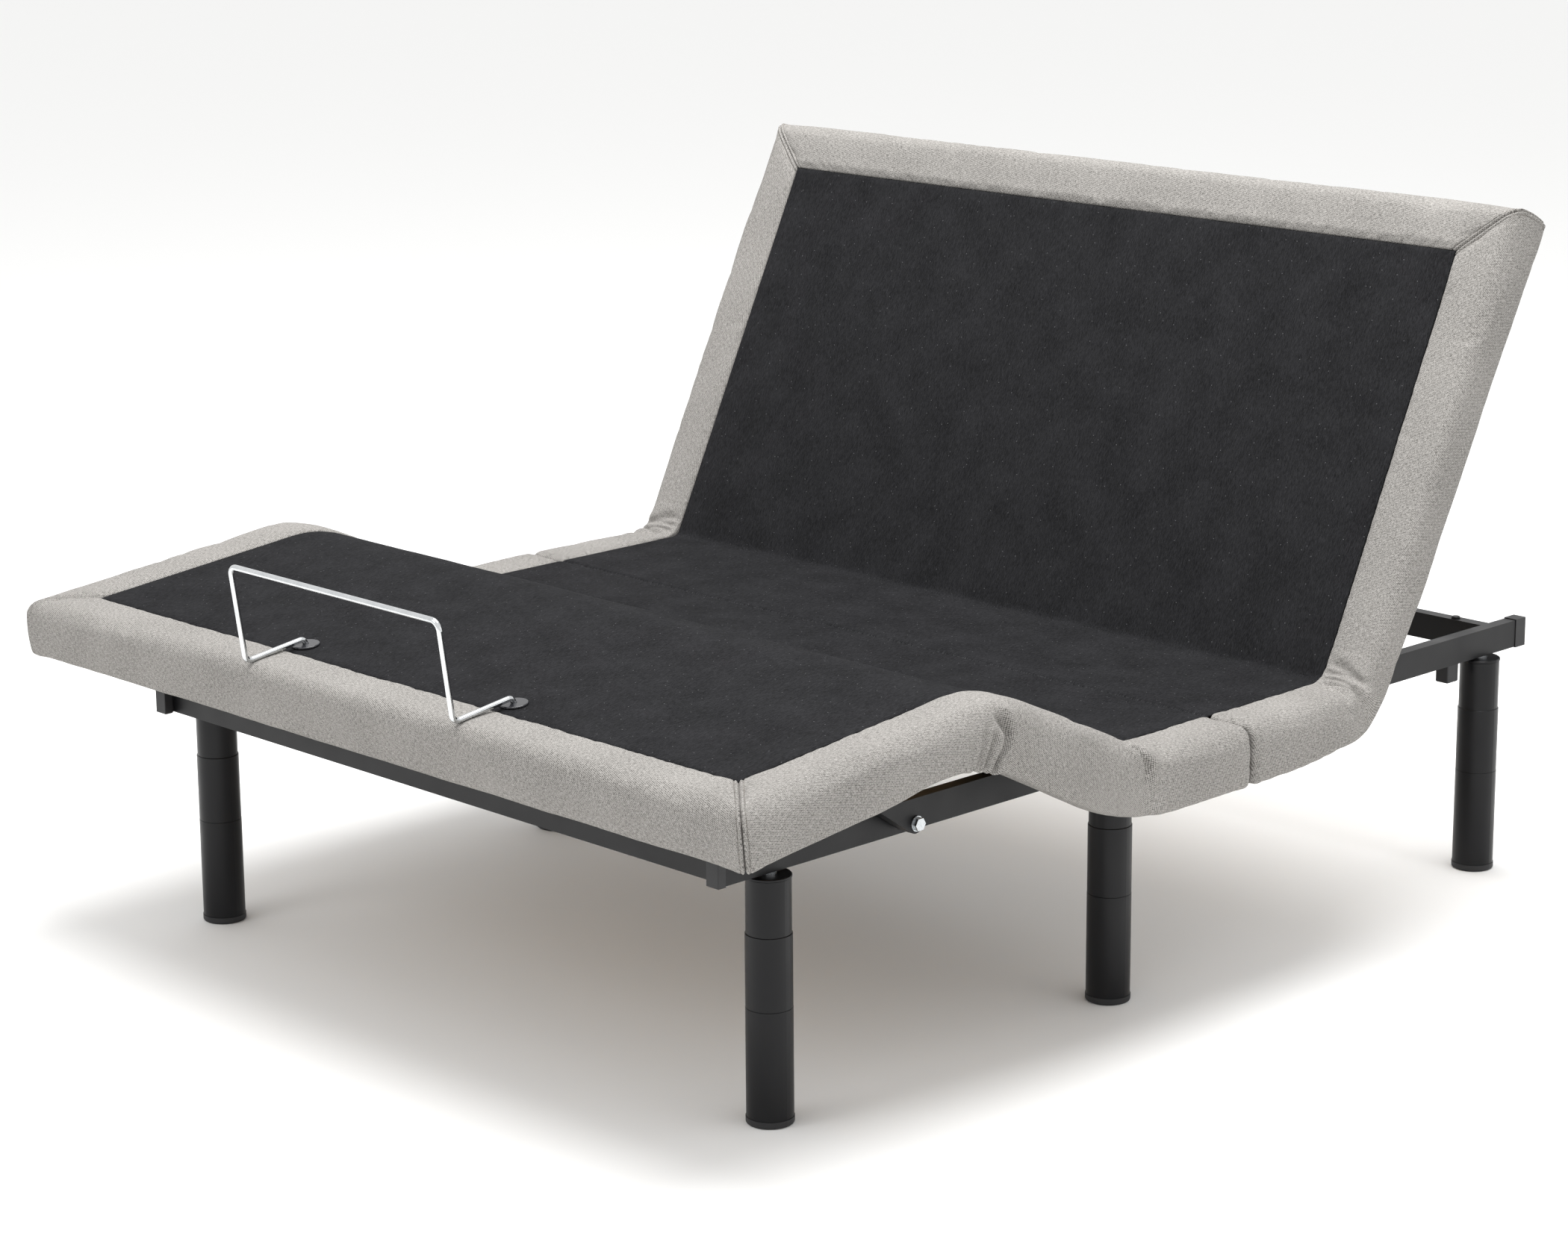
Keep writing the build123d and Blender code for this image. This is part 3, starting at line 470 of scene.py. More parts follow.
# depth of the cover's lower edge below the hinge line, along each section
underEdge = (
    ("foot", ((-560, 62), (-478, 62), (-345, 61), (-215, 58), (-135, 52), (-72, 56))),
    ("thigh", ((-308, 75), (-212, 77), (-146, 80), (-80, 81), (-16, 71))),
    ("seat", ((16, 67), (78, 68), (204, 65), (303, 64), (402, 52), (453, 37))),
    ("head", ((10, 23), (80, 31), (200, 41), (420, 48), (640, 56), (744, 58), (820, 58))),
)


def sectionAt(along):
    if along < 0:
        return "foot"
    if along < hipAt:
        return "thigh"
    return "seat" if along < backAt else "head"


def onSection(name, local, out):
    origin, slope, _ = sections[name]
    a = math.radians(slope)
    return np.array((origin[1] / mm + local * math.cos(a) - out * math.sin(a),
                     origin[2] / mm + local * math.sin(a) + out * math.cos(a)))


def flatPoint(along, out, name=None):
    name = name or sectionAt(along)
    return onSection(name, along - sections[name][2], out)


def meeting(first, second, at, out):
    p, q = flatPoint(at - 10, out, first), flatPoint(at + 10, out, second)
    d = flatPoint(at, out, first) - p
    e = flatPoint(at, out, second) - q
    t = np.linalg.solve(np.array((d, -e)).T, q - p)
    return p + d * t[0]


bends = ((0.0, "foot", "thigh"), (hipAt, "thigh", "seat"), (backAt, "seat", "head"))
bendCorners = [meeting(a, b, at, deck["surface"]) for at, a, b in bends]


def topPoint(along, curves):
    for (at, first, second), corner, reach in zip(bends, bendCorners, curves):
        if abs(along - at) < reach:
            t = (along - at + reach) / (2 * reach)
            p = flatPoint(at - reach, deck["surface"], first)
            q = flatPoint(at + reach, deck["surface"], second)
            return p * (1 - t) ** 2 + corner * 2 * t * (1 - t) + q * t * t
    return flatPoint(along, deck["surface"])


underKnots = [(sections[name][2] + local, onSection(name, local, -depth))
              for name, row in underEdge for local, depth in row]


def underPoint(along):
    knots = underKnots
    i = max(1, min(len(knots) - 3, sum(1 for k in knots if k[0] <= along) - 1))
    (s0, p0), (s1, p1), (s2, p2), (s3, p3) = knots[i - 1:i + 3]
    t = (along - s1) / (s2 - s1)
    m1 = (p2 - p0) / (s2 - s0) * (s2 - s1)
    m2 = (p3 - p1) / (s3 - s1) * (s2 - s1)
    return (p1 * (2 * t ** 3 - 3 * t * t + 1) + m1 * (t ** 3 - 2 * t * t + t)
            + p2 * (-2 * t ** 3 + 3 * t * t) + m2 * (t ** 3 - t * t))


everyMm = np.arange(footEnd - 20, headEnd + 20)
borderLine = np.array([topPoint(s, deck["borderCurves"]) for s in everyMm])
feltLine = np.array([topPoint(s, deck["feltCurves"]) for s in everyMm])
underLine = np.array([underPoint(s) for s in everyMm])


def onLine(line, along):
    return np.stack([np.interp(along, everyMm, line[:, k]) for k in (0, 1)], -1)


# the padded border: one cross-section carried along the deck

border = {
    "edgeRound": 21.0,
    "boardIn": 27.0,        # the board's edge, in from the cover's outer face
    "skirtIn": 41.0,        # the fabric's inner face below the board
    "boardTop": 12.3,
    "boardUnder": 26.8,
    "seamDip": 3.4,
    "belly": 2.0,           # how far the side face swells
    "hemRound": 8.0,
    "step": 5.0,
    "seamPull": 8.0,
    "seamWidth": 10.0,
    "seamPullTop": 3.4,
    "seamWidthTop": 6.0,
    "lip": 1.2,
    "stitchDent": 1.5,
    "stitchOff": 8.6,
    "mitreZone": 130.0,     # the cross-section turns square to the deck over this length
    "splitWidth": 13.0,
    "splitPull": 9.0,
    "foldShift": 8.0,       # the folds' depths count from this far above the side face
    "foldReach": 130.0,
    "heldSeam": 9.0,        # the cover is held to the board this near a seam, split or join
    "heldSplit": 2.0,
    "heldJoin": 20.0,
    "waves": ((95, 0.9, 0), (34, 0.35, 9)),     # size, height, seed of the slack in the cover
    "fill": 0.8,
}
# where rings of points stand beside a mitred seam and beside the split
seamOffsets = (0, 0.8, 1.8, 3.0, 4.4, 6.0, 7.4, 8.6, 9.8, 11.4, 14.0)
splitOffsets = (0, 0.6, 1.6, 3.2, 5.4, 8, 11, 14)


def crossSection(depth, band):
    b = border
    inner = [(band, -b["seamDip"]), (band - 1.6, -1.5), (band - 4, -0.5), (band - 8, 0.0),
             (band - 11.5, 0.55), (band - 14, 0.25), (band - 19, 0.15)]
    flatFrom, flatTo = band - 25, b["edgeRound"] + 1
    flat = [(flatFrom + (flatTo - flatFrom) * t, 0.15 + 0.5 * math.sin(math.pi * t))
            for t in np.linspace(0, 1, 5)]
    r = b["edgeRound"]
    over = [(r - r * math.sin(a), r * math.cos(a) - r) for a in np.linspace(0.06, 1, 9) * math.pi / 2]
    low = depth - b["hemRound"]
    side = [(-b["belly"] * math.sin(math.pi * t) * 0.9, -r - (low - r) * t)
            for t in np.linspace(0.09, 1, 10)]
    h = b["hemRound"]
    hem = [(h - h * math.cos(a), -low - h * math.sin(a)) for a in (0.4, 0.85, 1.3, math.pi / 2)]
    s = b["skirtIn"]
    under = [(h + (s - h - 6) * t, -depth + 0.6 * t) for t in (0.33, 0.66, 1.0)]
    rise = [(s - 1.5, -depth + 4), (s, -depth + 9)]
    for t in (0.33, 0.66):
        rise.append((s, -depth + 9 + (depth - 9 - b["boardUnder"] - 1) * t))
    rest = [(s - 0.5, -b["boardUnder"] - 1), (b["boardIn"] + 2, -b["boardUnder"]),
            (b["boardIn"], -b["boardUnder"] + 2), (b["boardIn"], -b["boardTop"] - 2),
            (b["boardIn"] + 3, -b["boardTop"]), ((b["boardIn"] + band) / 2, -b["boardTop"]),
            (band - 2, -b["boardTop"]), (band, -b["boardTop"] + 3)]
    seen = len(inner) + len(flat) + len(over) + len(side) + len(hem)
    return np.array(inner + flat + over + side + hem + under + rise + rest), seen


def inwards(points):
    ahead, behind = np.roll(points, -1, 0), np.roll(points, 1, 0)
    d = ahead - behind
    n = np.stack((-d[:, 1], d[:, 0]), 1)
    n /= np.linalg.norm(n, axis=1)[:, None]
    return n


def pull(distance, width, depth):
    t = np.clip(1 - distance / width, 0, 1)
    return depth * (1 - np.sqrt(1 - t * t * 0.98))


# how far the cover is drawn in near a mitred seam, with a lip and a stitched groove
def seamShape(points, off):
    b = border
    topShare = np.clip((points[:, 0] - 8) / (b["edgeRound"] - 8), 0, 1)
    sink = topShare * pull(off, b["seamWidthTop"], b["seamPullTop"])
    sink = sink + (1 - topShare) * pull(off, b["seamWidth"], b["seamPull"])
    sink = sink - b["lip"] * math.exp(-((off - 4.4) / 2.0) ** 2)
    return sink + b["stitchDent"] * math.exp(-((off - b["stitchOff"]) / 1.2) ** 2)


# folds of the border, as (places along the cover and down the section, depth, width)
folds = (
    (((-34, 30), (-10, 44), (4, 62), (4, 82), (-10, 104)), 14.0, 7.5),
    (((-22, 48), (-30, 70), (-44, 98)), 6.5, 5.5),
    (((-44, 42), (-54, 68), (-68, 96)), 5.0, 6.0),
    (((-66, 48), (-80, 70), (-92, 92)), 3.0, 6.0),
    (((22, 42), (24, 66), (12, 98)), 4.0, 6.0),
    (((252, 4), (280, 22), (297, 42), (302, 88)), 12.0, 7.0),
    (((352, 0), (332, 26), (322, 60)), 3.5, 10.0),
    (((746, -44), (764, -18), (772, 6), (764, 34), (752, 66)), 8.0, 8.0),
    (((778, -64), (788, -30), (786, 0), (776, 30), (768, 60)), 8.5, 7.5),
    (((800, -64), (806, -26), (800, 6), (790, 38)), 7.0, 7.5),
    (((828, -54), (824, -22), (810, 8), (802, 30)), 5.5, 8.0),
    (((730, -26), (742, 8), (738, 36)), 3.5, 9.0),
)


# distance of each place from a path, and how far along the path it lies, 0 to 1
def distanceTo(path, place):
    best, share = np.full(len(place), 1e9), np.zeros(len(place))
    for i, (a, b) in enumerate(zip(path[:-1], path[1:])):
        a, b = np.array(a, float), np.array(b, float)
        d = b - a
        t = np.clip((place - a) @ d / (d @ d), 0, 1)
        away = np.linalg.norm(place - a - t[:, None] * d, axis=1)
        share = np.where(away < best, (i + t) / (len(path) - 1), share)
        best = np.minimum(best, away)
    return best, share


def foldDepth(place):
    total = np.zeros(len(place))
    for path, depth, width in folds:
        if np.min(np.abs(place[:, 0] - path[len(path) // 2][0])) > border["foldReach"]:
            continue
        d, t = distanceTo(path, place)
        taper = np.clip(t / 0.3, 0, 1)
        if path[-1][1] < 96:
            taper = taper * np.clip((1 - t) / 0.3, 0, 1)
        taper = taper * taper * (3 - 2 * taper)
        valley = np.exp(-(d / width) ** 2) - 0.4 * np.exp(-((d - 2 * width) / (1.1 * width)) ** 2)
        total += depth * taper * valley
    return total


def unevenness(points, size, amount, seed):
    return np.array([noise.noise(Vector(p) / (size * mm) + Vector((seed, 0, 0)))
                     for p in points]) * amount


def spread(a, b, step):
    return list(np.linspace(a, b, max(2, int(round(abs(b - a) / step)) + 1)))


def gridMesh(name, rings, arcs, alongs, material, sharpEnds=()):
    count, around = len(rings), len(rings[0])
    mesh = bpy.data.meshes.new(name)
    verts = [tuple(v) for ring in rings for v in ring]
    faces = []
    for i in range(count - 1):
        for j in range(around):
            k = (j + 1) % around
            faces.append((i * around + j, i * around + k, (i + 1) * around + k,
                          (i + 1) * around + j))
    faces.append(tuple(range(around - 1, -1, -1)))
    faces.append(tuple((count - 1) * around + j for j in range(around)))
    mesh.from_pydata(verts, [], faces)
    uv = mesh.uv_layers.new(name="clothMap")
    for polygon in mesh.polygons:
        for corner in polygon.loop_indices:
            v = mesh.loops[corner].vertex_index
            i, j = divmod(v, around)
            a = arcs[i][j]
            if j == 0 and len(polygon.vertices) == 4 and any(
                    w % around == around - 1 for w in polygon.vertices):
                a = arcs[i][-1] + np.linalg.norm(np.array(rings[i][0]) - rings[i][-1])
            uv.data[corner].uv = (alongs[i][j], a)
    mesh.materials.append(material)
    obj = bpy.data.objects.new(name, mesh)
    bpy.context.scene.collection.objects.link(obj)
    build = bmesh.new()
    build.from_mesh(mesh)
    crease = build.edges.layers.float.new("crease_edge")
    for end in sharpEnds:
        first = 0 if end == 0 else (count - 1) * around
        chosen = set(range(first, first + around))
        for edge in build.edges:
            if edge.verts[0].index in chosen and edge.verts[1].index in chosen:
                edge[crease] = 1.0
                edge.smooth = False
    bmesh.ops.recalc_face_normals(build, faces=build.faces)
    for face in build.faces:
        face.smooth = True
    build.to_mesh(mesh)
    build.free()
    return obj


def arcLengths(ring):
    ring = np.array(ring)
    return np.concatenate(([0], np.cumsum(np.linalg.norm(np.diff(ring, axis=0), axis=1))))


def subdivide(obj):
    smooth = obj.modifiers.new("smooth", "SUBSURF")
    smooth.levels = smooth.render_levels = 1
    mesh = bpy.data.meshes.new_from_object(
        obj.evaluated_get(bpy.context.evaluated_depsgraph_get()))
    obj.modifiers.remove(smooth)
    old = obj.data
    obj.data = mesh
    bpy.data.meshes.remove(old)
    mesh.name = obj.name


simulation = {
    "pressure": 4.0,
    "frames": 20,
    "cap": 2.5 * mm,        # no point of the cover moves further than this
    "mass": 0.3,
    "quality": 5,
    "stretchStiffness": 15.0,
    "bendStiffness": 0.6,
    "shrink": -0.012,       # the cover is cut this much larger than its shape
}


def puff(obj, held):
    scene = bpy.context.scene
    group = obj.vertex_groups.new(name="held")
    for index, weight in enumerate(held):
        group.add([index], float(weight), "REPLACE")
    before = np.array([v.co for v in obj.data.vertices])
    cloth = obj.modifiers.new("cloth", "CLOTH")
    settings = cloth.settings
    settings.use_pressure = True
    settings.uniform_pressure_force = simulation["pressure"]
    settings.effector_weights.gravity = 0
    settings.vertex_group_mass = "held"
    settings.mass = simulation["mass"]
    settings.quality = simulation["quality"]
    settings.tension_stiffness = simulation["stretchStiffness"]
    settings.compression_stiffness = simulation["stretchStiffness"]
    settings.bending_stiffness = simulation["bendStiffness"]
    settings.shrink_min = simulation["shrink"]
    cloth.collision_settings.use_collision = False
    cloth.point_cache.frame_start = 1
    cloth.point_cache.frame_end = simulation["frames"]
    for frameNumber in range(1, simulation["frames"] + 1):
        scene.frame_set(frameNumber)
    evaluated = obj.evaluated_get(bpy.context.evaluated_depsgraph_get())
    after = np.array([v.co for v in evaluated.data.vertices])
    move = after - before
    length = np.linalg.norm(move, axis=1)
    cap = simulation["cap"]
    share = np.where(length > 1e-9, cap * np.tanh(length / cap) / np.maximum(length, 1e-9), 0)
    obj.modifiers.remove(cloth)
    obj.vertex_groups.clear()
    scene.frame_set(1)
    obj.data.vertices.foreach_set("co", (before + move * share[:, None]).ravel())
    obj.data.update()


def layStations(start, end, startKind, endKind):
    # kind, way into the strip, end it belongs to, and distance or share of the zone
    b = border
    leads = {"mitre": seamOffsets, "split": splitOffsets, "join": (0,)}
    zoneStep = b["step"] / (b["mitreZone"] - seamOffsets[-1])
    clear = {kind: lead[-1] + b["step"] for kind, lead in leads.items()}
    clear["mitre"] = b["mitreZone"]
    stations = [(startKind, 1, start, off) for off in leads[startKind]]
    if startKind == "mitre":
        stations += [("zone", 1, start, t) for t in spread(0, 1, zoneStep)[1:-1]]
    stations += [("plain", 1, s, 0) for s in
                 spread(start + clear[startKind], end - clear[endKind], b["step"])]
    if endKind == "mitre":
        stations += [("zone", -1, end, t) for t in spread(1, 0, zoneStep)[1:-1]]
    return stations + [(endKind, -1, end, off) for off in reversed(leads[endKind])]


def sideStrip(name, sign, start, end, startKind, endKind):
    b, band = border, deck["halfWidth"] - deck["panelHalf"]
    slant = deck["endBand"] / band
    zone, reach = b["mitreZone"], seamOffsets[-1]
    rings, arcs, alongs, held = [], [], [], []
    for kind, way, at, off in layStations(start, end, startKind, endKind):
        nominal = at + way * (reach + off * (zone - reach) if kind == "zone" else off)
        depth = np.linalg.norm(onLine(borderLine, nominal) - onLine(underLine, nominal))
        points, seen = crossSection(depth, band)
        normals = inwards(points)
        visible = np.arange(len(points)) < seen
        shape = points.copy()
        place = np.full(len(points), nominal)
        if kind == "mitre":
            shape += normals * (seamShape(points, off) * visible)[:, None]
            place = at + way * (np.clip(shape[:, 0], 0, band) * slant + off)
        if kind == "zone":
            near = at + way * (np.clip(points[:, 0], 0, band) * slant + reach)
            place = near + (at + way * zone - near) * off
        if kind == "split":
            sink = pull(off, b["splitWidth"], b["splitPull"])
            shape += normals * (sink * np.where(visible, 1, 0.2))[:, None]
        # a fold's depth counts down from the outer top edge, negative on the top face
        arc = arcLengths(points)
        offEdge = np.abs(points[:, 0] - b["edgeRound"]) + np.where(points[:, 1] < -5, 99, 0)
        down = arc - arc[int(np.argmin(offEdge))] + b["foldShift"]
        fade = np.where(visible, np.clip((arc - 4) / 14, 0, 1), 0.0)
        shape += normals * (foldDepth(np.stack((place, down), 1)) * fade)[:, None]
        p, q = onLine(borderLine, place), onLine(underLine, place)
        up = (p - q) / np.linalg.norm(p - q, axis=1)[:, None]
        yz = p + up * shape[:, 1:]
        rings.append(np.column_stack((sign * (deck["halfWidth"] - shape[:, 0]), yz)) * mm)
        arcs.append(arc * mm)
        alongs.append(place * mm)
        hold = np.where(visible, 0.0, 1.0)
        hold[0] = 1
        if kind == "join" or (kind == "mitre" and off < b["heldSeam"]) or (
                kind == "split" and off < b["heldSplit"]):
            hold[:] = 1
        if kind == "plain" and startKind == "join":
            hold = np.maximum(hold, 1 - (nominal - start) / b["heldJoin"])
        if kind == "plain" and endKind == "join":
            hold = np.maximum(hold, 1 - (end - nominal) / b["heldJoin"])
        held.append(hold)
    obj = gridMesh(name, rings, arcs, alongs, finish["cloth"], (0, 1))
    settle(obj, held, 3.0 + sign)
    return obj, rings, seen


def settle(obj, held, seed):
    held = np.concatenate(held)
    points = np.array([v.co for v in obj.data.vertices])
    normals = np.array([v.normal for v in obj.data.vertices])
    wave = sum(unevenness(points, size, height * mm, seed + extra)
               for size, height, extra in border["waves"])
    points += normals * (wave * (1 - held))[:, None]
    obj.data.vertices.foreach_set("co", points.ravel())
    obj.data.update()
    puff(obj, held)
    subdivide(obj)


def endBolster(name, section, way, length, low):
    b, band = border, deck["endBand"]
    half = deck["halfWidth"]
    slant = (half - deck["panelHalf"]) / band
    depth = deck["surface"] + low
    points, seen = crossSection(depth, band)
    normals = inwards(points)
    visible = np.arange(len(points)) < seen
    # side and distance from its seam; between the seams, 0 and a share of the half width
    stations = [(-1, off) for off in seamOffsets]
    stations += [(0, t) for t in spread(-1, 1, b["step"] / (half - 110))]
    stations += [(1, off) for off in reversed(seamOffsets)]
    rings, arcs, alongs, held = [], [], [], []
    arc = arcLengths(points)
    for side, off in stations:
        shape = points.copy()
        if side:
            shape += normals * (seamShape(points, off) * visible)[:, None]
            x = side * (half - np.clip(shape[:, 0], 0, band) * slant - off)
        else:
            x = off * 0.985 * (half - np.clip(points[:, 0], 0, band) * slant - seamOffsets[-1])
        ring = []
        for (d, z), out in zip(shape, x):
            yz = onSection(section, way * (length - d), deck["surface"] + z)
            ring.append((out * mm, yz[0] * mm, yz[1] * mm))
        rings.append(ring)
        arcs.append(arc * mm)
        alongs.append(np.broadcast_to(x, len(points)) * mm)
        hold = np.where(visible, 0.0, 1.0)
        hold[0] = 1
        if side and off < b["heldSeam"]:
            hold[:] = 1
        held.append(hold)
    obj = gridMesh(name, rings, arcs, alongs, finish["cloth"], (0, 1))
    settle(obj, held, 7.0 + way)
    return obj, rings, seen


def finishBorder():
    half = deck["thighHalf"]
    splitA = deck["splitAt"] - deck["splitGap"] / 2
    splitB = deck["splitAt"] + deck["splitGap"] / 2
    made = {}
    for side, sign in (("Left", -1), ("Right", 1)):
        made["footSide" + side] = sideStrip("footSide" + side, sign, footEnd, half + 0.3,
                                            "mitre", "join")
        made["seatSide" + side] = sideStrip("seatSide" + side, sign, half, splitA,
                                            "join", "split")
        made["headSide" + side] = sideStrip("headSide" + side, sign, splitB, headEnd,
                                            "split", "mitre")
        print("side border", side.lower())
    made["footBolster"] = endBolster("footBolster", "foot", -1, deck["footLength"],
                                     deck["footLow"])
    made["headBolster"] = endBolster("headBolster", "head", 1, deck["headLength"],
                                     deck["headLow"])
    print("end bolsters")
    return made


borders = finishBorder()


# the black top panels

panel = {
    "thick": 11.7,
    "seamDip": 3.8,
    "level": 1.0,           # the felt lies this far under the border's crown
    "step": 9.0,
    "splitDip": 7.0,
    "splitWidth": 8.0,
    "seamWidth": 9.0,
    "calm": 40.0,           # swells and creases die out this near a seam
    "swellSize": 130.0,
    "swell": (0.9, 0.4),
    "edgeRows": (0, 0.8, 2.2, 4.5, 8, 13),
    "edgeClear": 20.0,
    "joinClear": 8.0,
    "fill": 0.9,
}
# creases pressed into the felt: (across, along) points, depth, width
creases = (
    (((-430, 1440), (-455, 1300), (-500, 1120), (-560, 960)), 1.8, 7.0),
    (((-420, 1440), (-380, 1400)), 0.9, 8.0),
    (((330, 1440), (270, 1330), (262, 1180), (240, 1000)), 0.9, 8.0),
    (((-677, 250), (0, 262), (677, 250)), 0.5, 10.0),
)


def panelRows(start, end, startKind, endKind):
    rows = panel["edgeRows"]
    clear = {"join": panel["joinClear"], "seam": panel["edgeClear"], "split": panel["edgeClear"]}
    first = [start] if startKind == "join" else [start + o for o in rows]
    last = [end] if endKind == "join" else [end - o for o in reversed(rows)]
    return first + spread(start + clear[startKind], end - clear[endKind], panel["step"]) + last


def topPanel(name, start, end, startKind, endKind):
    half = deck["panelHalf"] - 0.4
    seamDrop = panel["seamDip"] - panel["level"]
    columns = panelRows(-half, half, "seam", "seam")
    rings, arcs, alongs = [], [], []
    for s in panelRows(start, end, startKind, endKind):
        p, q = onLine(feltLine, s), onLine(underLine, s)
        up = (p - q) / np.linalg.norm(p - q)
        dip, calmHere = 0.0, 1.0
        for kind, d in ((startKind, s - start), (endKind, end - s)):
            if kind == "seam":
                dip = max(dip, pull(d, panel["seamWidth"], seamDrop))
            if kind == "split":
                dip = max(dip, pull(d, panel["splitWidth"], panel["splitDip"]))
            if kind != "join":
                calmHere = min(calmHere, (d + 5) / panel["calm"])
        press = np.zeros(len(columns))
        for path, depth, width in creases:
            d, _ = distanceTo(path, np.array([(x, s) for x in columns]))
            press += depth * np.exp(-(d / width) ** 2) - 0.5 * depth * np.exp(
                -((d - 2 * width) / width) ** 2)
        ring, arc = [], []
        for x, crease in zip(columns, press):
            inside = half - abs(x)
            calm = min(calmHere, inside / panel["calm"])
            spot = Vector((x, s, 0)) / panel["swellSize"]
            large, small = panel["swell"]
            swell = large * noise.noise(spot) + small * noise.noise(spot * 3.1)
            sideDip = pull(inside, panel["seamWidth"], seamDrop)
            yz = p + up * ((swell - crease) * calm - panel["level"] - max(dip, sideDip))
            ring.append((x * mm, yz[0] * mm, yz[1] * mm))
            arc.append(x * mm)
        under = p - up * panel["thick"]
        for x in (half, half / 2, 0, -half / 2, -half):
            ring.append((x * mm, under[0] * mm, under[1] * mm))
            arc.append(x * mm + 2)
        rings.append(ring)
        arcs.append(np.array(arc))
        alongs.append(np.full(len(ring), s * mm))
    obj = gridMesh(name, rings, arcs, alongs, finish["felt"], (0, 1))
    subdivide(obj)
    return obj


feltFoot = footEnd + deck["endBand"]
feltHead = headEnd - deck["endBand"]
tops = {
    "footTop": topPanel("footTop", feltFoot + 0.4, deck["thighHalf"] + 0.3, "seam", "join"),
    "seatTop": topPanel("seatTop", deck["thighHalf"], deck["splitAt"] - 0.4, "join", "split"),
    "headTop": topPanel("headTop", deck["splitAt"] + 0.4, feltHead - 0.4, "split", "seam"),
}
print("top panels")


# topstitching along the mitred corners

stitch = {
    "length": 3.4,
    "gap": 1.3,
    "radius": 0.75,
    "lift": 0.35,           # the thread's middle above the cloth
}


def stitchTree():
    tree = bpy.data.node_groups.new("topstitching", "GeometryNodeTree")
    tree.is_modifier = True
    face = tree.interface
    face.new_socket("Geometry", in_out="INPUT", socket_type="NodeSocketGeometry")
    for name in ("Stitch Length", "Gap", "Thread Radius"):
        face.new_socket(name, in_out="INPUT", socket_type="NodeSocketFloat")
    face.new_socket("Material", in_out="INPUT", socket_type="NodeSocketMaterial")
    face.new_socket("Geometry", in_out="OUTPUT", socket_type="NodeSocketGeometry")
    given = addNode(tree, "NodeGroupInput")
    pitch = addNode(tree, "ShaderNodeMath", {0: given.outputs["Stitch Length"],
                                             1: given.outputs["Gap"]}, operation="ADD")
    line = addNode(tree, "GeometryNodeMeshToCurve", {"Mesh": given.outputs["Geometry"]})
    spaced = addNode(tree, "GeometryNodeResampleCurve",
                     {"Curve": line.outputs["Curve"], "Length": pitch.outputs[0]},
                     mode="LENGTH")
    points = addNode(tree, "GeometryNodeCurveToPoints", {"Curve": spaced.outputs["Curve"]},
                     mode="EVALUATED")
    bead = addNode(tree, "GeometryNodeMeshUVSphere",
                   {"Segments": 8, "Rings": 6, "Radius": given.outputs["Thread Radius"]})
    half = addNode(tree, "ShaderNodeMath", {0: given.outputs["Stitch Length"], 1: 2.0},
                   operation="DIVIDE")
    longer = addNode(tree, "ShaderNodeMath", {0: half.outputs[0],
                                              1: given.outputs["Thread Radius"]},
                     operation="DIVIDE")
    size = addNode(tree, "ShaderNodeCombineXYZ", {"X": 1.0, "Y": 1.0, "Z": longer.outputs[0]})
    placed = addNode(tree, "GeometryNodeInstanceOnPoints",
                     {"Points": points.outputs["Points"], "Instance": bead.outputs["Mesh"],
                      "Rotation": points.outputs["Rotation"], "Scale": size.outputs[0]})
    real = addNode(tree, "GeometryNodeRealizeInstances",
                   {"Geometry": placed.outputs["Instances"]})
    smooth = addNode(tree, "GeometryNodeSetShadeSmooth", {"Geometry": real.outputs[0]})
    coated = addNode(tree, "GeometryNodeSetMaterial",
                     {"Geometry": smooth.outputs[0], "Material": given.outputs["Material"]})
    addNode(tree, "NodeGroupOutput", {"Geometry": coated.outputs[0]})
    return tree


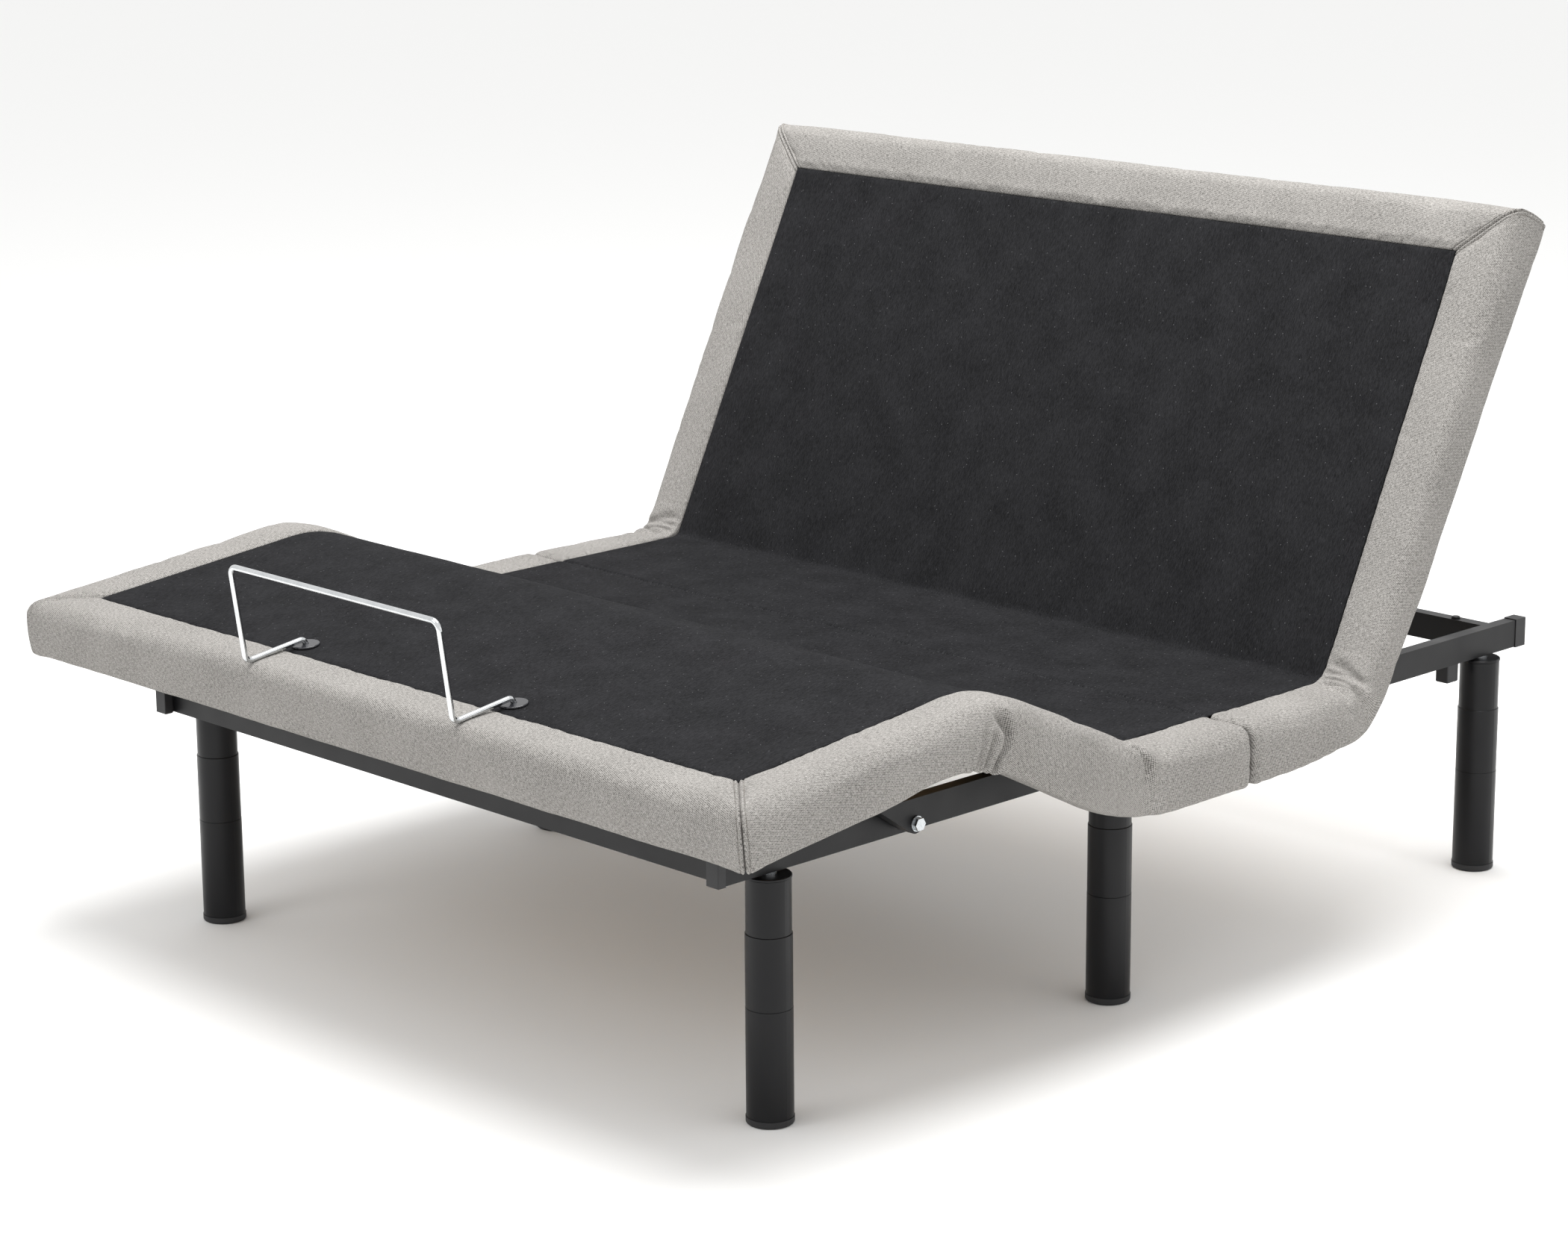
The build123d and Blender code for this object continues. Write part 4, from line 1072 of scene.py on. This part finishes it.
def runTree(name, lines, tree, values):
    verts, edges = [], []
    for points in lines:
        first = len(verts)
        verts += [tuple(p) for p in points]
        edges += [(first + i, first + i + 1) for i in range(len(points) - 1)]
    mesh = bpy.data.meshes.new(name)
    mesh.from_pydata(verts, edges, [])
    obj = bpy.data.objects.new(name, mesh)
    bpy.context.scene.collection.objects.link(obj)
    modifier = obj.modifiers.new("build", "NODES")
    modifier.node_group = tree
    for item in tree.interface.items_tree:
        if item.in_out == "INPUT" and item.name in values:
            modifier[item.identifier] = values[item.name]
    obj.update_tag()
    result = bpy.data.meshes.new_from_object(
        obj.evaluated_get(bpy.context.evaluated_depsgraph_get()))
    obj.modifiers.remove(modifier)
    obj.data = result
    bpy.data.meshes.remove(mesh)
    result.name = name
    return obj


def cornerLines(names, atStart):
    row = seamOffsets.index(border["stitchOff"])
    lines = []
    for name, start in zip(names, atStart):
        _, rings, seen = borders[name]
        whole = np.array(rings[row if start else len(rings) - 1 - row])
        ring = whole[3:seen - 1]
        away = ring - np.mean(whole, 0)
        away /= np.linalg.norm(away, axis=1)[:, None]
        lines.append(ring + away * stitch["lift"] * mm)
    return lines


threadTree = stitchTree()
threadValues = {"Stitch Length": stitch["length"] * mm, "Gap": stitch["gap"] * mm,
                "Thread Radius": stitch["radius"] * mm, "Material": finish["thread"]}
footStitches = runTree("footStitches", cornerLines(
    ("footSideLeft", "footSideRight", "footBolster", "footBolster"),
    (True, True, True, False)), threadTree, threadValues)
headStitches = runTree("headStitches", cornerLines(
    ("headSideLeft", "headSideRight", "headBolster", "headBolster"),
    (False, False, True, False)), threadTree, threadValues)
print("topstitching")


# the bolsters and stitches follow their decks; the side strips and top panels stay where they were built; the
# parts they stand for are hidden


def bind():
    for side in ("Left", "Right"):
        foot, seat, head = (borders[k + side][0] for k in ("footSide", "seatSide", "headSide"))
        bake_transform(foot)
        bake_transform(seat)
        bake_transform(head)
        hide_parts("foot_border", "thigh_border")
        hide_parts("thigh_border", "seat_front_border")
        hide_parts("seat_rear_border", "head_border")
    for name, body, node in (("footBolster", "foot_deck", "foot_end_border"),
                             ("headBolster", "head_deck", "head_end_border")):
        obj = borders[name][0]
        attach(obj, body)
        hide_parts(node)
    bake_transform(tops["footTop"])
    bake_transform(tops["seatTop"])
    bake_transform(tops["headTop"])
    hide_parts("foot_pad", "thigh_pad")
    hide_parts("thigh_pad", "seat_front_pad")
    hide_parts("seat_rear_pad", "head_pad")
    for obj, body in ((footStitches, "foot_deck"), (headStitches, "head_deck")):
        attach(obj, body)


bind()
